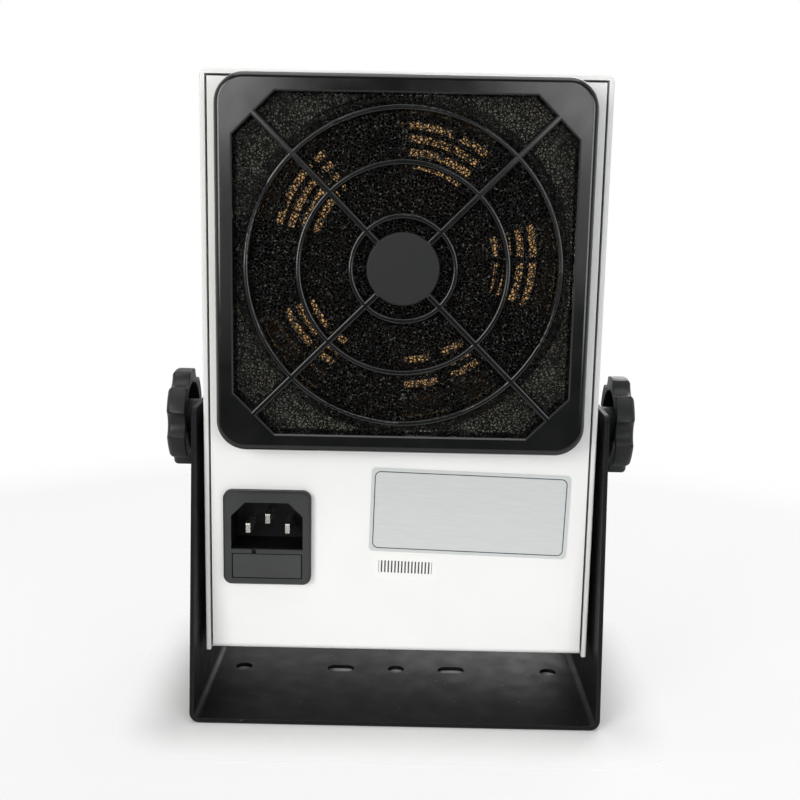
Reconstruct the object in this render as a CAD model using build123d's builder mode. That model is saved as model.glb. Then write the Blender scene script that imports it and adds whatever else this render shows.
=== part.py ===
from build123d import *
from math import cos, hypot, radians, sin, sqrt
import os

# Ionizing blower: a fan with emitter pins in a sheet-steel housing, tilting in a U stand.
# Millimetres. +Z is up, the air outlet faces -Y and the filter faces +Y.
# The origin is on the table, under the middle of the stand.

# Fan, the size that the housing is built around
FAN_SIZE = 120.0
FAN_DEPTH = 38.0
FAN_HOLE_INSET = 7.5
FAN_FLANGE = 4.5
FAN_CORNER = 4.0
FAN_DUCT_WALL = 2.2
FAN_STRUT_WIDTH = 5.0
MOTOR_PLATE = 3.0
HUB_RADIUS = 31.0
HUB_WALL = 4.0
HUB_CAP = 3.0
BLADE_COUNT = 5
BLADE_CHORD = 40.0
BLADE_ROOT_SHARE = 0.55
BLADE_THICKNESS = 1.8
BLADE_CAMBER = 3.5
BLADE_ROOT_PITCH = 46.0
BLADE_TIP_PITCH = 30.0
BLADE_START = 109.0
TIP_GAP = 1.2
FAN_SHAFT_RADIUS = 2.0
BEARING_TUBE_RADIUS = 7.0
BEARING_RADIUS = 5.0
BEARING_LENGTH = 4.0
STATOR_GAP = 1.0

# Sheet-steel housing
SHEET = 1.2
BEND_INSIDE = 1.0
EDGE_STRIP = 1.7
EDGE_DEPTH = 6.0
EDGE_ROUND = 0.6
EDGE_DROP = 0.7
SEAM = 0.8
TOP_CORNER = 2.5
SIDE_MARGIN = 6.2
TOP_MARGIN = 1.8
ION_SPACE = 19.6
FAN_ABOVE_PIVOT = 59.0
FLOOR_BELOW_PIVOT = 79.4
EAR_HEIGHT = 12.0
EAR_LENGTH = 36.0
EAR_SCREW_HEIGHT = 7.0
COVER_SCREW_SPACING = 22.0

# Filter set on the rear panel
FILTER_OVERHANG = 2.5
FILTER_PROJECTION = 11.0
FILTER_CORNER = 10.0
FILTER_EDGE = 2.2
COVER_WALL = 2.0
COVER_FACE = 2.4
COVER_BAND = 6.0
COVER_CLEARANCE = 0.3
FOAM_CLEARANCE = 0.4
BASE_PLATE = 2.2
BASE_WALL = 2.0
BASE_HEIGHT = 6.0
RING_COUNT = 3
RING_EDGE_GAP = 4.3
RING_WIDTH = 1.8
SPOKE_WIDTH = 2.2
SPOKE_OVERLAP = 1.0
BAR_ROUND = 0.7
OPENING_BEVEL = 0.5
HUB_DISC_RADIUS = 12.2
HUB_DISC_EDGE = 0.6

# Outlet grille, emitter ring and emitter cleaner
OUTLET_MARGIN = 6.0
GRILLE_FLANGE = 8.0
GRILLE_THICKNESS = 2.2
GRILLE_DEPTH = 3.4
GRILLE_PITCH = 5.0
GRILLE_BAR = 2.2
GRILLE_BOSS_RADIUS = 13.0
GRILLE_EDGE = 0.8
EMITTER_COUNT = 8
EMITTER_DEPTH = 12.0
EMITTER_WALL = 7.0
EMITTER_CLEARANCE = 0.5
EMITTER_SEAT = 1.0
EMITTER_BOSS_RADIUS = 2.5
EMITTER_BOSS_LENGTH = 5.0
EMITTER_PIN_RADIUS = 0.6
EMITTER_PIN_REACH = 6.5
EMITTER_POINT = 4.0
EMITTER_TIP_RADIUS = 0.1
CLEANER_KNOB_RADIUS = 9.0
CLEANER_KNOB_HEIGHT = 9.0
CLEANER_KNOB_FLUTES = 12
CLEANER_FLUTE_RADIUS = 1.6
CLEANER_FLUTE_DEPTH = 0.6
CLEANER_SHAFT_RADIUS = 2.0
CLEANER_ARM_WIDTH = 6.0
CLEANER_ARM_THICKNESS = 2.4
CLEANER_HUB_RADIUS = 6.0
BRUSH_LENGTH = 6.0
BRUSH_WIDTH = 4.0
BRUSH_CLEARANCE = 0.5

# Stand, pivot and clamp knobs
STAND_THICKNESS = 1.5
STAND_DEPTH = 91.0
STAND_BEND_INSIDE = 2.0
SWING_CLEARANCE = 13.8
ARM_GAP = 2.0
ARM_TOP_DEPTH = 66.0
ARM_RISE = 9.3
ARM_CORNER = 4.0
BOLT_HOLE_DIAMETER = 6.4
BOLT_HOLE_SPACING = 118.6
SLOT_SPACING = 43.0
SLOT_LENGTH = 10.4
SLOT_WIDTH = 6.0
PIVOT_SCREW_RADIUS = 3.0
PIVOT_HOLE_CLEARANCE = 0.4
PIVOT_NUT_RADIUS = 6.5
PIVOT_NUT_LENGTH = 6.0
THREAD_CLEARANCE = 0.05
FRICTION_WASHER_RADIUS = 11.0
CLAMP_WASHER_RADIUS = 9.0
CLAMP_WASHER_THICKNESS = 1.2
KNOB_RADIUS = 18.0
KNOB_RIM_OFFSET = 5.5
KNOB_RIM_HEIGHT = 6.9
KNOB_WALL = 2.5
KNOB_BOSS_RADIUS = 6.5
KNOB_LOBES = 6
FLUTE_RADIUS = 5.5
FLUTE_DEPTH = 2.6
KNOB_EDGE = 2.0

# Mains inlet with its fuse drawer, and the two labels
INLET_FROM_SIDE = 22.4
INLET_BELOW_PIVOT = 37.0
INLET_FLANGE = 2.8
INLET_CORNER = 3.0
INLET_CHAMFER = 0.8
INLET_BODY_INSET = 1.5
INLET_SIDE_WALL = 1.55
INLET_TOP_WALL = 2.65
INLET_MIDDLE_WALL = 1.5
INLET_BOTTOM_WALL = 0.85
INLET_BACK_WALL = 5.5
INLET_FIT = 0.2
SOCKET_WIDTH = 25.3
SOCKET_HEIGHT = 17.1
SOCKET_CHAMFER = 5.0
SOCKET_DEPTH = 16.0
PIN_PITCH = 14.0
PIN_RAISE = 2.4
EARTH_RAISE = 3.6
PIN_WIDTH = 2.0
PIN_HEIGHT = 4.0
PIN_SETBACK = 2.5
PIN_TAIL = 8.0
PIN_FIT = 0.02
FUSE_RADIUS = 2.5
FUSE_LENGTH = 20.0
FUSE_END_ROOM = 0.55
FUSE_HEADROOM = 2.4
FUSE_SPACING = 3.2
DRAWER_FACE = 2.2
DRAWER_WALL = 1.6
DRAWER_FLOOR = 1.2
DRAWER_CLEARANCE = 0.3
NOTCH_WIDTH = 1.6
NOTCH_DEPTH = 2.0
NOTCH_X = 4.6
PLATE_SIDE_GAP = 8.7
PLATE_INLET_GAP = 20.8
PLATE_HEIGHT = 30.4
PLATE_THICKNESS = 0.4
PLATE_CORNER = 1.5
PLATE_BELOW_FILTER = 8.5
PLATE_TURN = -1.5
STICKER_WIDTH = 23.0
STICKER_HEIGHT = 9.5
STICKER_THICKNESS = 0.2
STICKER_CORNER = 0.8
STICKER_ALONG = 22.3
STICKER_DROP = 0.25

# Front controls and the parts of the lower bay
SPEED_FROM_SIDE = 30.7
CONTROL_BELOW_PIVOT = 42.0
SWITCH_RADIUS = 11.0
SWITCH_DEPTH = 14.0
BUSHING_RADIUS = 4.5
BUSHING_LENGTH = 6.0
SWITCH_NUT_RADIUS = 7.0
SWITCH_NUT_HEIGHT = 2.4
SPEED_SHAFT_RADIUS = 3.0
SPEED_KNOB_RADIUS = 12.0
SPEED_KNOB_HEIGHT = 15.0
SPEED_KNOB_GAP = 0.6
SPEED_KNOB_WALL = 2.4
SPEED_KNOB_FLUTES = 18
SPEED_FLUTE_RADIUS = 1.8
SPEED_FLUTE_DEPTH = 0.6
POINTER_WIDTH = 1.2
POINTER_DEPTH = 0.5
LAMP_CLEARANCE = 2.0
LAMP_RADIUS = 4.0
LAMP_FLANGE = 1.5
LAMP_DEPTH = 12.0
LAMP_CROWN = 1.8
TRANSFORMER_FROM_SIDE = 46.7
TRANSFORMER_WIDTH = 50.0
TRANSFORMER_DEPTH = 40.0
TRANSFORMER_HEIGHT = 42.0
TRANSFORMER_FOOT = 9.0
TRANSFORMER_PLATE = 2.0
TRANSFORMER_CORNER = 3.0
TERMINAL_RADIUS = 4.0
TERMINAL_HEIGHT = 6.0
LEAD_RADIUS = 1.5
HV_LEAD_RADIUS = 2.2
HV_LEAD_SHIFT = 8.0
SWITCH_TERMINAL_SPREAD = 5.0
SWITCH_TERMINAL_RAISE = 3.0
FAN_LEAD_DROP = 5.0
FAN_LEAD_RISE = 12.0
FAN_LEAD_GAP = 6.0
FAN_LEAD_BEND = 3.5

# Screws
M4_RADIUS = 2.0
M4_HEAD_RADIUS = 3.5
M4_HEAD_HEIGHT = 2.2
M4_NUT_RADIUS = 4.0
M4_NUT_HEIGHT = 3.2
M3_RADIUS = 1.5
M3_HEAD_RADIUS = 2.8
M3_HEAD_HEIGHT = 1.6
FLUSH_HEAD_RADIUS = 2.5
FLUSH_HEAD_HEIGHT = 1.0
FLUSH_SCREW_LENGTH = 5.0
SCREW_PROUD = 1.0
HEAD_EDGE = 0.5
RECESS_SPAN = 1.1
RECESS_WIDTH = 0.28
RECESS_DEPTH = 0.55
SCREW_CLEARANCE = 0.2

# Fits
RUN_FIT = 0.05
REST_GAP = 0.1
PRESS_GAP = 0.02

# Sizes and places that follow from the ones above
filter_half = FAN_SIZE / 2 + FILTER_OVERHANG
housing_half = filter_half + SIDE_MARGIN
housing_depth = 2 * SHEET + FAN_DEPTH + ION_SPACE
rear_y = housing_depth / 2
front_y = -housing_depth / 2
rear_inner_y = rear_y - SHEET
front_inner_y = front_y + SHEET
fan_front_y = rear_inner_y - FAN_DEPTH
wall_inner = housing_half - SHEET
panel_half = housing_half - EDGE_STRIP - SEAM
swing_radius = hypot(FLOOR_BELOW_PIVOT + EDGE_DROP, housing_depth / 2)
pivot_z = STAND_THICKNESS + SWING_CLEARANCE + swing_radius
fan_z = pivot_z + FAN_ABOVE_PIVOT
floor_z = pivot_z - FLOOR_BELOW_PIVOT
floor_top_z = floor_z + SHEET
wrap_bottom_z = floor_z - EDGE_DROP
top_z = fan_z + filter_half + TOP_MARGIN
panel_top_z = top_z - EDGE_STRIP - SEAM
fan_hole = FAN_SIZE / 2 - FAN_HOLE_INSET
duct_radius = FAN_SIZE / 2 - FAN_DUCT_WALL
tip_radius = duct_radius - TIP_GAP
arm_inner = housing_half + ARM_GAP
arm_outer = arm_inner + STAND_THICKNESS
arm_top_z = pivot_z + ARM_RISE
inlet_x = housing_half - INLET_FROM_SIDE
speed_x = housing_half - SPEED_FROM_SIDE
transformer_x = TRANSFORMER_FROM_SIDE - housing_half


def rear_plane(y, x=0.0, z=0.0):
    # Sketch plane seen from the filter side: positive extrusion goes to +Y
    return Plane(origin=(x, y, z), x_dir=(-1, 0, 0), z_dir=(0, 1, 0))


def front_plane(y, x=0.0, z=0.0):
    # Sketch plane seen from the outlet side: positive extrusion goes to -Y
    return Plane(origin=(x, y, z), x_dir=(1, 0, 0), z_dir=(0, -1, 0))


def side_plane(side, x):
    # Sketch plane on the pivot axis: positive extrusion goes outward on that side
    return Plane(origin=(side * x, 0, pivot_z), x_dir=(0, side, 0), z_dir=(side, 0, 0))


def cut_corner_square(half, leg):
    # Square with its four corners cut off at 45 degrees
    near = half - leg
    return [
        (half, near), (near, half), (-near, half), (-half, near),
        (-half, -near), (-near, -half), (near, -half), (half, -near),
    ]


def cross_recess(head_radius):
    # Cross of two bars for a screwdriver, in an open sketch
    Rectangle(RECESS_SPAN * head_radius, RECESS_WIDTH * head_radius)
    Rectangle(RECESS_WIDTH * head_radius, RECESS_SPAN * head_radius)


# Stand: one bent strip, base and two tapered arms
bend_outer = STAND_BEND_INSIDE + STAND_THICKNESS
with BuildPart() as stand_bracket:
    with BuildSketch(Plane.YZ.offset(-arm_outer)) as arm_outline:
        with BuildLine():
            Polyline(
                (-STAND_DEPTH / 2, 0), (STAND_DEPTH / 2, 0),
                (ARM_TOP_DEPTH / 2, arm_top_z), (-ARM_TOP_DEPTH / 2, arm_top_z),
                close=True,
            )
        make_face()
        fillet(arm_outline.vertices().group_by(Axis.Y)[-1], ARM_CORNER)
    extrude(amount=2 * arm_outer)
    with BuildSketch(Plane.XZ.offset(-STAND_DEPTH)) as inside:
        with Locations((0, STAND_THICKNESS + arm_top_z)):
            Rectangle(2 * arm_inner, 2 * arm_top_z)
        fillet(inside.vertices().group_by(Axis.Y)[0], STAND_BEND_INSIDE)
    extrude(amount=2 * STAND_DEPTH, mode=Mode.SUBTRACT)
    long_edges = stand_bracket.edges().filter_by(Axis.Y).group_by(Axis.Z)[0]
    fillet(long_edges, bend_outer)
    with BuildSketch(Plane.XY) as base_openings:
        with Locations((0, 0), (-BOLT_HOLE_SPACING / 2, 0), (BOLT_HOLE_SPACING / 2, 0)):
            Circle(BOLT_HOLE_DIAMETER / 2)
        with Locations((-SLOT_SPACING / 2, 0), (SLOT_SPACING / 2, 0)):
            SlotOverall(SLOT_LENGTH, SLOT_WIDTH)
    extrude(amount=STAND_THICKNESS, mode=Mode.SUBTRACT)
    for side in (1, -1):
        with BuildSketch(side_plane(side, arm_inner)):
            Circle(PIVOT_SCREW_RADIUS + PIVOT_HOLE_CLEARANCE)
        extrude(amount=STAND_THICKNESS, mode=Mode.SUBTRACT)

# Chassis: rear panel, floor and front panel in one U, with ears for the cover screws
outlet_radius = FAN_SIZE / 2 - OUTLET_MARGIN
inlet_z = pivot_z - INLET_BELOW_PIVOT
control_z = pivot_z - CONTROL_BELOW_PIVOT
drawer_width = FUSE_LENGTH + 2 * FUSE_END_ROOM + 2 * DRAWER_WALL
drawer_height = DRAWER_FLOOR + 2 * FUSE_RADIUS + FUSE_HEADROOM
drawer_length = DRAWER_FACE + DRAWER_WALL + 4 * FUSE_RADIUS + FUSE_SPACING
slot_width = drawer_width + 2 * DRAWER_CLEARANCE
slot_height = drawer_height + 2 * DRAWER_CLEARANCE
inlet_walls = INLET_TOP_WALL + INLET_MIDDLE_WALL + INLET_BOTTOM_WALL
inlet_body_width = slot_width + 2 * INLET_SIDE_WALL
inlet_body_height = SOCKET_HEIGHT + slot_height + inlet_walls
inlet_width = inlet_body_width + 2 * INLET_BODY_INSET
inlet_height = inlet_body_height + 2 * INLET_BODY_INSET
grille_screw_radius = outlet_radius + GRILLE_FLANGE / 2
transformer_y = front_inner_y + TRANSFORMER_DEPTH / 2 + REST_GAP
transformer_screw = TRANSFORMER_WIDTH / 2 + TRANSFORMER_FOOT / 2
lamp_x = transformer_x - TRANSFORMER_WIDTH / 2 - LAMP_RADIUS - LAMP_CLEARANCE
with BuildPart() as chassis:
    with BuildSketch(Plane.YZ.offset(-panel_half)) as chassis_profile:
        with BuildLine():
            Polyline(
                (front_y, panel_top_z), (front_y, floor_z),
                (rear_y, floor_z), (rear_y, panel_top_z), close=True,
            )
        make_face()
        fillet(chassis_profile.vertices().group_by(Axis.Y)[0], BEND_INSIDE + SHEET)
    extrude(amount=2 * panel_half)
    with BuildSketch(Plane.YZ.offset(-panel_half)) as chassis_inside:
        with BuildLine():
            Polyline(
                (front_inner_y, panel_top_z), (front_inner_y, floor_top_z),
                (rear_inner_y, floor_top_z), (rear_inner_y, panel_top_z), close=True,
            )
        make_face()
        fillet(chassis_inside.vertices().group_by(Axis.Y)[0], BEND_INSIDE)
    extrude(amount=2 * panel_half, mode=Mode.SUBTRACT)
    with BuildSketch(Plane.XY.offset(floor_z)):
        Rectangle(2 * wall_inner, EAR_LENGTH)
    extrude(amount=SHEET)
    with BuildSketch(Plane.XY.offset(floor_z)):
        with Locations((wall_inner - SHEET / 2, 0), (SHEET / 2 - wall_inner, 0)):
            Rectangle(SHEET, EAR_LENGTH)
    extrude(amount=EAR_HEIGHT)
    with BuildSketch(rear_plane(rear_inner_y, 0, fan_z)):
        Circle(duct_radius)
        with GridLocations(2 * fan_hole, 2 * fan_hole, 2, 2):
            Circle(M4_RADIUS + SCREW_CLEARANCE)
    extrude(amount=SHEET, mode=Mode.SUBTRACT)
    with BuildSketch(rear_plane(rear_inner_y, inlet_x, inlet_z)):
        Rectangle(inlet_body_width + 2 * INLET_FIT, inlet_body_height + 2 * INLET_FIT)
    extrude(amount=SHEET, mode=Mode.SUBTRACT)
    with BuildSketch(front_plane(front_inner_y, 0, fan_z)):
        Circle(outlet_radius)
        with PolarLocations(grille_screw_radius, 4, start_angle=45):
            Circle(M3_RADIUS + SCREW_CLEARANCE)
    extrude(amount=SHEET, mode=Mode.SUBTRACT)
    with BuildSketch(front_plane(front_inner_y, 0, control_z)):
        with Locations((speed_x, 0)):
            Circle(BUSHING_RADIUS + SCREW_CLEARANCE)
        with Locations((lamp_x, 0)):
            Circle(LAMP_RADIUS + SCREW_CLEARANCE)
    extrude(amount=SHEET, mode=Mode.SUBTRACT)
    with BuildSketch(Plane.XY.offset(floor_z)):
        with Locations((transformer_x, transformer_y)):
            with GridLocations(2 * transformer_screw, 1, 2, 1):
                Circle(M3_RADIUS + SCREW_CLEARANCE)
    extrude(amount=SHEET, mode=Mode.SUBTRACT)
    for side in (1, -1):
        with BuildSketch(Plane.YZ.offset(side * wall_inner)):
            with Locations((0, floor_z + EAR_SCREW_HEIGHT)):
                with GridLocations(COVER_SCREW_SPACING, 1, 2, 1):
                    Circle(M3_RADIUS + SCREW_CLEARANCE)
        extrude(amount=-side * SHEET, mode=Mode.SUBTRACT)


def outer_rim(edge):
    # Long edges on the outside of the wrap
    middle = edge.center()
    outside = abs(middle.X) > wall_inner or middle.Z > top_z - SHEET
    return outside and edge.length > 2 * EDGE_STRIP


# Outer wrap: left side, top and right side, with thicker folded edges front and rear
screw_drop = EAR_SCREW_HEIGHT - FLOOR_BELOW_PIVOT
with BuildPart() as cover_wrap:
    for depth, thickness in ((housing_depth / 2, SHEET), (EDGE_DEPTH, EDGE_STRIP)):
        for start, direction in ((rear_y, -1), (front_y, 1)):
            with BuildSketch(rear_plane(start)) as section:
                with Locations((0, (wrap_bottom_z + top_z) / 2)):
                    Rectangle(2 * housing_half, top_z - wrap_bottom_z)
                fillet(section.vertices().group_by(Axis.Y)[-1], TOP_CORNER)
                inner_top = top_z - thickness
                with Locations((0, (wrap_bottom_z + inner_top) / 2)):
                    Rectangle(
                        2 * (housing_half - thickness), inner_top - wrap_bottom_z,
                        mode=Mode.SUBTRACT,
                    )
            extrude(amount=direction * depth)
    for end in (-1, 0):
        rim = cover_wrap.edges().group_by(Axis.Y)[end].filter_by(outer_rim)
        fillet(rim, EDGE_ROUND)
    for side in (1, -1):
        with BuildSketch(side_plane(side, wall_inner)):
            Circle(PIVOT_SCREW_RADIUS + PIVOT_HOLE_CLEARANCE)
        extrude(amount=SHEET, mode=Mode.SUBTRACT)
        head_plane = side_plane(side, housing_half)
        for along in (-COVER_SCREW_SPACING / 2, COVER_SCREW_SPACING / 2):
            with Locations(head_plane * Location((along, screw_drop, 0))):
                CounterSinkHole(
                    M3_RADIUS + SCREW_CLEARANCE, FLUSH_HEAD_RADIUS + SCREW_CLEARANCE,
                    depth=SHEET, counter_sink_angle=90,
                )

# Flush screws through the wrap into the chassis ears
with BuildPart() as cover_screws:
    for side in (1, -1):
        for along in (-COVER_SCREW_SPACING / 2, COVER_SCREW_SPACING / 2):
            with Locations(side_plane(side, housing_half) * Location((along, screw_drop, 0))):
                Cylinder(
                    M3_RADIUS, FLUSH_SCREW_LENGTH,
                    align=(Align.CENTER, Align.CENTER, Align.MAX),
                )
                Cone(
                    M3_RADIUS, FLUSH_HEAD_RADIUS, FLUSH_HEAD_HEIGHT,
                    align=(Align.CENTER, Align.CENTER, Align.MAX),
                )
        with BuildSketch(side_plane(side, housing_half)):
            with Locations((0, screw_drop)):
                with GridLocations(COVER_SCREW_SPACING, 1, 2, 1):
                    cross_recess(FLUSH_HEAD_RADIUS)
        extrude(amount=-RECESS_DEPTH * FLUSH_HEAD_HEIGHT, mode=Mode.SUBTRACT)

# Weld nuts inside the walls and friction washers outside them, both on the pivot
with BuildPart() as pivot_nuts:
    for side in (1, -1):
        with BuildSketch(side_plane(side, wall_inner)):
            RegularPolygon(PIVOT_NUT_RADIUS, 6)
            Circle(PIVOT_SCREW_RADIUS + THREAD_CLEARANCE, mode=Mode.SUBTRACT)
        extrude(amount=-PIVOT_NUT_LENGTH)
with BuildPart() as friction_washers:
    for side in (1, -1):
        with BuildSketch(side_plane(side, housing_half)):
            Circle(FRICTION_WASHER_RADIUS)
            Circle(PIVOT_SCREW_RADIUS + PIVOT_HOLE_CLEARANCE, mode=Mode.SUBTRACT)
        extrude(amount=ARM_GAP - REST_GAP)

# Clamp knobs: a plain washer, a screw and a scalloped cup on a boss, on each side
washer_x = arm_outer + REST_GAP
boss_x = washer_x + CLAMP_WASHER_THICKNESS + REST_GAP
rim_x = arm_outer + KNOB_RIM_OFFSET
knob_end_x = rim_x + KNOB_RIM_HEIGHT
screw_tip_x = wall_inner - PIVOT_NUT_LENGTH
screw_head_x = knob_end_x - KNOB_WALL
clamp_washers = {}
clamp_screws = {}
clamp_knobs = {}
for side_name, side in (("right", 1), ("left", -1)):
    with BuildPart() as clamp_washer:
        with BuildSketch(side_plane(side, washer_x)):
            Circle(CLAMP_WASHER_RADIUS)
            Circle(PIVOT_SCREW_RADIUS + PIVOT_HOLE_CLEARANCE, mode=Mode.SUBTRACT)
        extrude(amount=CLAMP_WASHER_THICKNESS)
    with BuildPart() as clamp_screw:
        with BuildSketch(side_plane(side, screw_tip_x)):
            Circle(PIVOT_SCREW_RADIUS)
        extrude(amount=screw_head_x - screw_tip_x)
    with BuildPart() as clamp_knob:
        with BuildSketch(side_plane(side, rim_x)):
            Circle(KNOB_RADIUS)
            with PolarLocations(KNOB_RADIUS + FLUTE_RADIUS - FLUTE_DEPTH, KNOB_LOBES):
                Circle(FLUTE_RADIUS, mode=Mode.SUBTRACT)
        extrude(amount=KNOB_RIM_HEIGHT)
        outer_edges = clamp_knob.faces().sort_by(Axis.X)[-1 if side > 0 else 0].edges()
        fillet(outer_edges, KNOB_EDGE)
        with BuildSketch(side_plane(side, rim_x)):
            Circle(KNOB_RADIUS - FLUTE_DEPTH - KNOB_WALL)
        extrude(amount=KNOB_RIM_HEIGHT - KNOB_WALL, mode=Mode.SUBTRACT)
        with BuildSketch(side_plane(side, boss_x)):
            Circle(KNOB_BOSS_RADIUS)
        extrude(amount=knob_end_x - KNOB_WALL - boss_x)
        with BuildSketch(side_plane(side, boss_x)):
            Circle(PIVOT_SCREW_RADIUS + PRESS_GAP)
        extrude(amount=screw_head_x - boss_x, mode=Mode.SUBTRACT)
    clamp_washers[side_name] = clamp_washer
    clamp_screws[side_name] = clamp_screw
    clamp_knobs[side_name] = clamp_knob

# Filter base on the rear panel: plate, ring guard, rim wall and screw holes
base_half = filter_half - COVER_WALL - COVER_CLEARANCE
foam_half = base_half - BASE_WALL - FOAM_CLEARANCE
foam_leg = 2 * foam_half - (2 * fan_hole - sqrt(2) * (M4_HEAD_RADIUS + FOAM_CLEARANCE))
opening_half = filter_half - COVER_BAND
opening_leg = 2 * opening_half - (2 * foam_half - foam_leg) + FOAM_CLEARANCE
ring_pitch = (opening_half - RING_EDGE_GAP) / RING_COUNT
spoke_length = sqrt(2) * (opening_half - opening_leg / 2) + SPOKE_OVERLAP
base_y = rear_y + BASE_PLATE
cover_top_y = rear_y + FILTER_PROJECTION
cover_under_y = cover_top_y - COVER_FACE
cover_mid_y = cover_top_y - COVER_FACE / 2
with BuildPart() as filter_base:
    with BuildSketch(rear_plane(rear_y, 0, fan_z)):
        for index in range(RING_COUNT, 0, -1):
            Circle(ring_pitch * index + RING_WIDTH / 2)
            Circle(ring_pitch * index - RING_WIDTH / 2, mode=Mode.SUBTRACT)
        Circle(HUB_DISC_RADIUS)
        for turn in (45, 135):
            Rectangle(2 * spoke_length, SPOKE_WIDTH, rotation=turn)
    extrude(amount=BASE_PLATE)
    with BuildSketch(rear_plane(rear_y, 0, fan_z)):
        RectangleRounded(2 * base_half, 2 * base_half, FILTER_CORNER - COVER_WALL)
        Polygon(*cut_corner_square(opening_half, opening_leg), mode=Mode.SUBTRACT)
        with GridLocations(2 * fan_hole, 2 * fan_hole, 2, 2):
            Circle(M4_RADIUS + SCREW_CLEARANCE, mode=Mode.SUBTRACT)
    extrude(amount=BASE_PLATE)
    with BuildSketch(rear_plane(rear_y, 0, fan_z)):
        RectangleRounded(2 * base_half, 2 * base_half, FILTER_CORNER - COVER_WALL)
        Rectangle(2 * (base_half - BASE_WALL), 2 * (base_half - BASE_WALL), mode=Mode.SUBTRACT)
    extrude(amount=BASE_HEIGHT)

with BuildPart() as filter_foam:
    with BuildSketch(rear_plane(base_y + PRESS_GAP, 0, fan_z)):
        Polygon(*cut_corner_square(foam_half, foam_leg))
    extrude(amount=cover_under_y - REST_GAP - base_y - PRESS_GAP)


def opening_rim(edge):
    # Edges of the guard's opening, inside the cover's outline
    middle = edge.center()
    reach = opening_half + OPENING_BEVEL
    return abs(middle.X) < reach and abs(middle.Z - fan_z) < reach


# Snap-on filter cover: rounded frame, skirt, rounded guard bars and a hub disc
with BuildPart() as filter_cover:
    with BuildSketch(rear_plane(rear_y + COVER_CLEARANCE, 0, fan_z)):
        RectangleRounded(2 * filter_half, 2 * filter_half, FILTER_CORNER)
    extrude(amount=FILTER_PROJECTION - COVER_CLEARANCE)
    fillet(filter_cover.edges().group_by(Axis.Y)[-1], FILTER_EDGE)
    with BuildSketch(rear_plane(rear_y + COVER_CLEARANCE, 0, fan_z)):
        skirt_half = filter_half - COVER_WALL
        RectangleRounded(2 * skirt_half, 2 * skirt_half, FILTER_CORNER - COVER_WALL)
    extrude(amount=cover_under_y - rear_y - COVER_CLEARANCE, mode=Mode.SUBTRACT)
    with BuildSketch(rear_plane(cover_under_y, 0, fan_z)):
        Polygon(*cut_corner_square(opening_half, opening_leg))
    extrude(amount=COVER_FACE, mode=Mode.SUBTRACT)
    chamfer(filter_cover.edges().group_by(Axis.Y)[-1].filter_by(opening_rim), OPENING_BEVEL)
    for index in range(RING_COUNT, 0, -1):
        with BuildSketch(Plane.XY.offset(fan_z)):
            with Locations((ring_pitch * index, cover_mid_y)):
                RectangleRounded(RING_WIDTH, COVER_FACE, BAR_ROUND)
        revolve(axis=Axis((0, 0, fan_z), (0, 1, 0)))
    for turn in (45, 135):
        along = Vector(cos(radians(turn)), 0, sin(radians(turn)))
        with BuildSketch(Plane(origin=(0, cover_mid_y, fan_z), x_dir=(0, 1, 0), z_dir=along)):
            RectangleRounded(COVER_FACE, SPOKE_WIDTH, BAR_ROUND)
        extrude(amount=spoke_length, both=True)
    with BuildSketch(Plane.XY.offset(fan_z)) as hub_profile:
        with Locations((HUB_DISC_RADIUS / 2, cover_mid_y)):
            Rectangle(HUB_DISC_RADIUS, COVER_FACE)
        fillet(hub_profile.vertices().group_by(Axis.X)[-1].sort_by(Axis.Y)[-1], HUB_DISC_EDGE)
    revolve(axis=Axis((0, 0, fan_z), (0, 1, 0)))

# Screws that hold the filter base, the rear panel and the fan together, with their nuts
fan_flange_y = rear_inner_y - FAN_FLANGE
with BuildPart() as filter_screws:
    with BuildSketch(rear_plane(base_y, 0, fan_z)):
        with GridLocations(2 * fan_hole, 2 * fan_hole, 2, 2):
            Circle(M4_HEAD_RADIUS)
    extrude(amount=M4_HEAD_HEIGHT)
    fillet(filter_screws.edges().group_by(Axis.Y)[-1], HEAD_EDGE)
    with BuildSketch(rear_plane(base_y + M4_HEAD_HEIGHT, 0, fan_z)):
        with GridLocations(2 * fan_hole, 2 * fan_hole, 2, 2):
            cross_recess(M4_HEAD_RADIUS)
    extrude(amount=-RECESS_DEPTH * M4_HEAD_HEIGHT, mode=Mode.SUBTRACT)
    with BuildSketch(rear_plane(base_y, 0, fan_z)):
        with GridLocations(2 * fan_hole, 2 * fan_hole, 2, 2):
            Circle(M4_RADIUS)
    extrude(amount=-(base_y - fan_flange_y + M4_NUT_HEIGHT + SCREW_PROUD))
with BuildPart() as filter_nuts:
    with BuildSketch(rear_plane(fan_flange_y, 0, fan_z)):
        with GridLocations(2 * fan_hole, 2 * fan_hole, 2, 2):
            RegularPolygon(M4_NUT_RADIUS, 6)
            Circle(M4_RADIUS + THREAD_CLEARANCE, mode=Mode.SUBTRACT)
    extrude(amount=-M4_NUT_HEIGHT)

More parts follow.
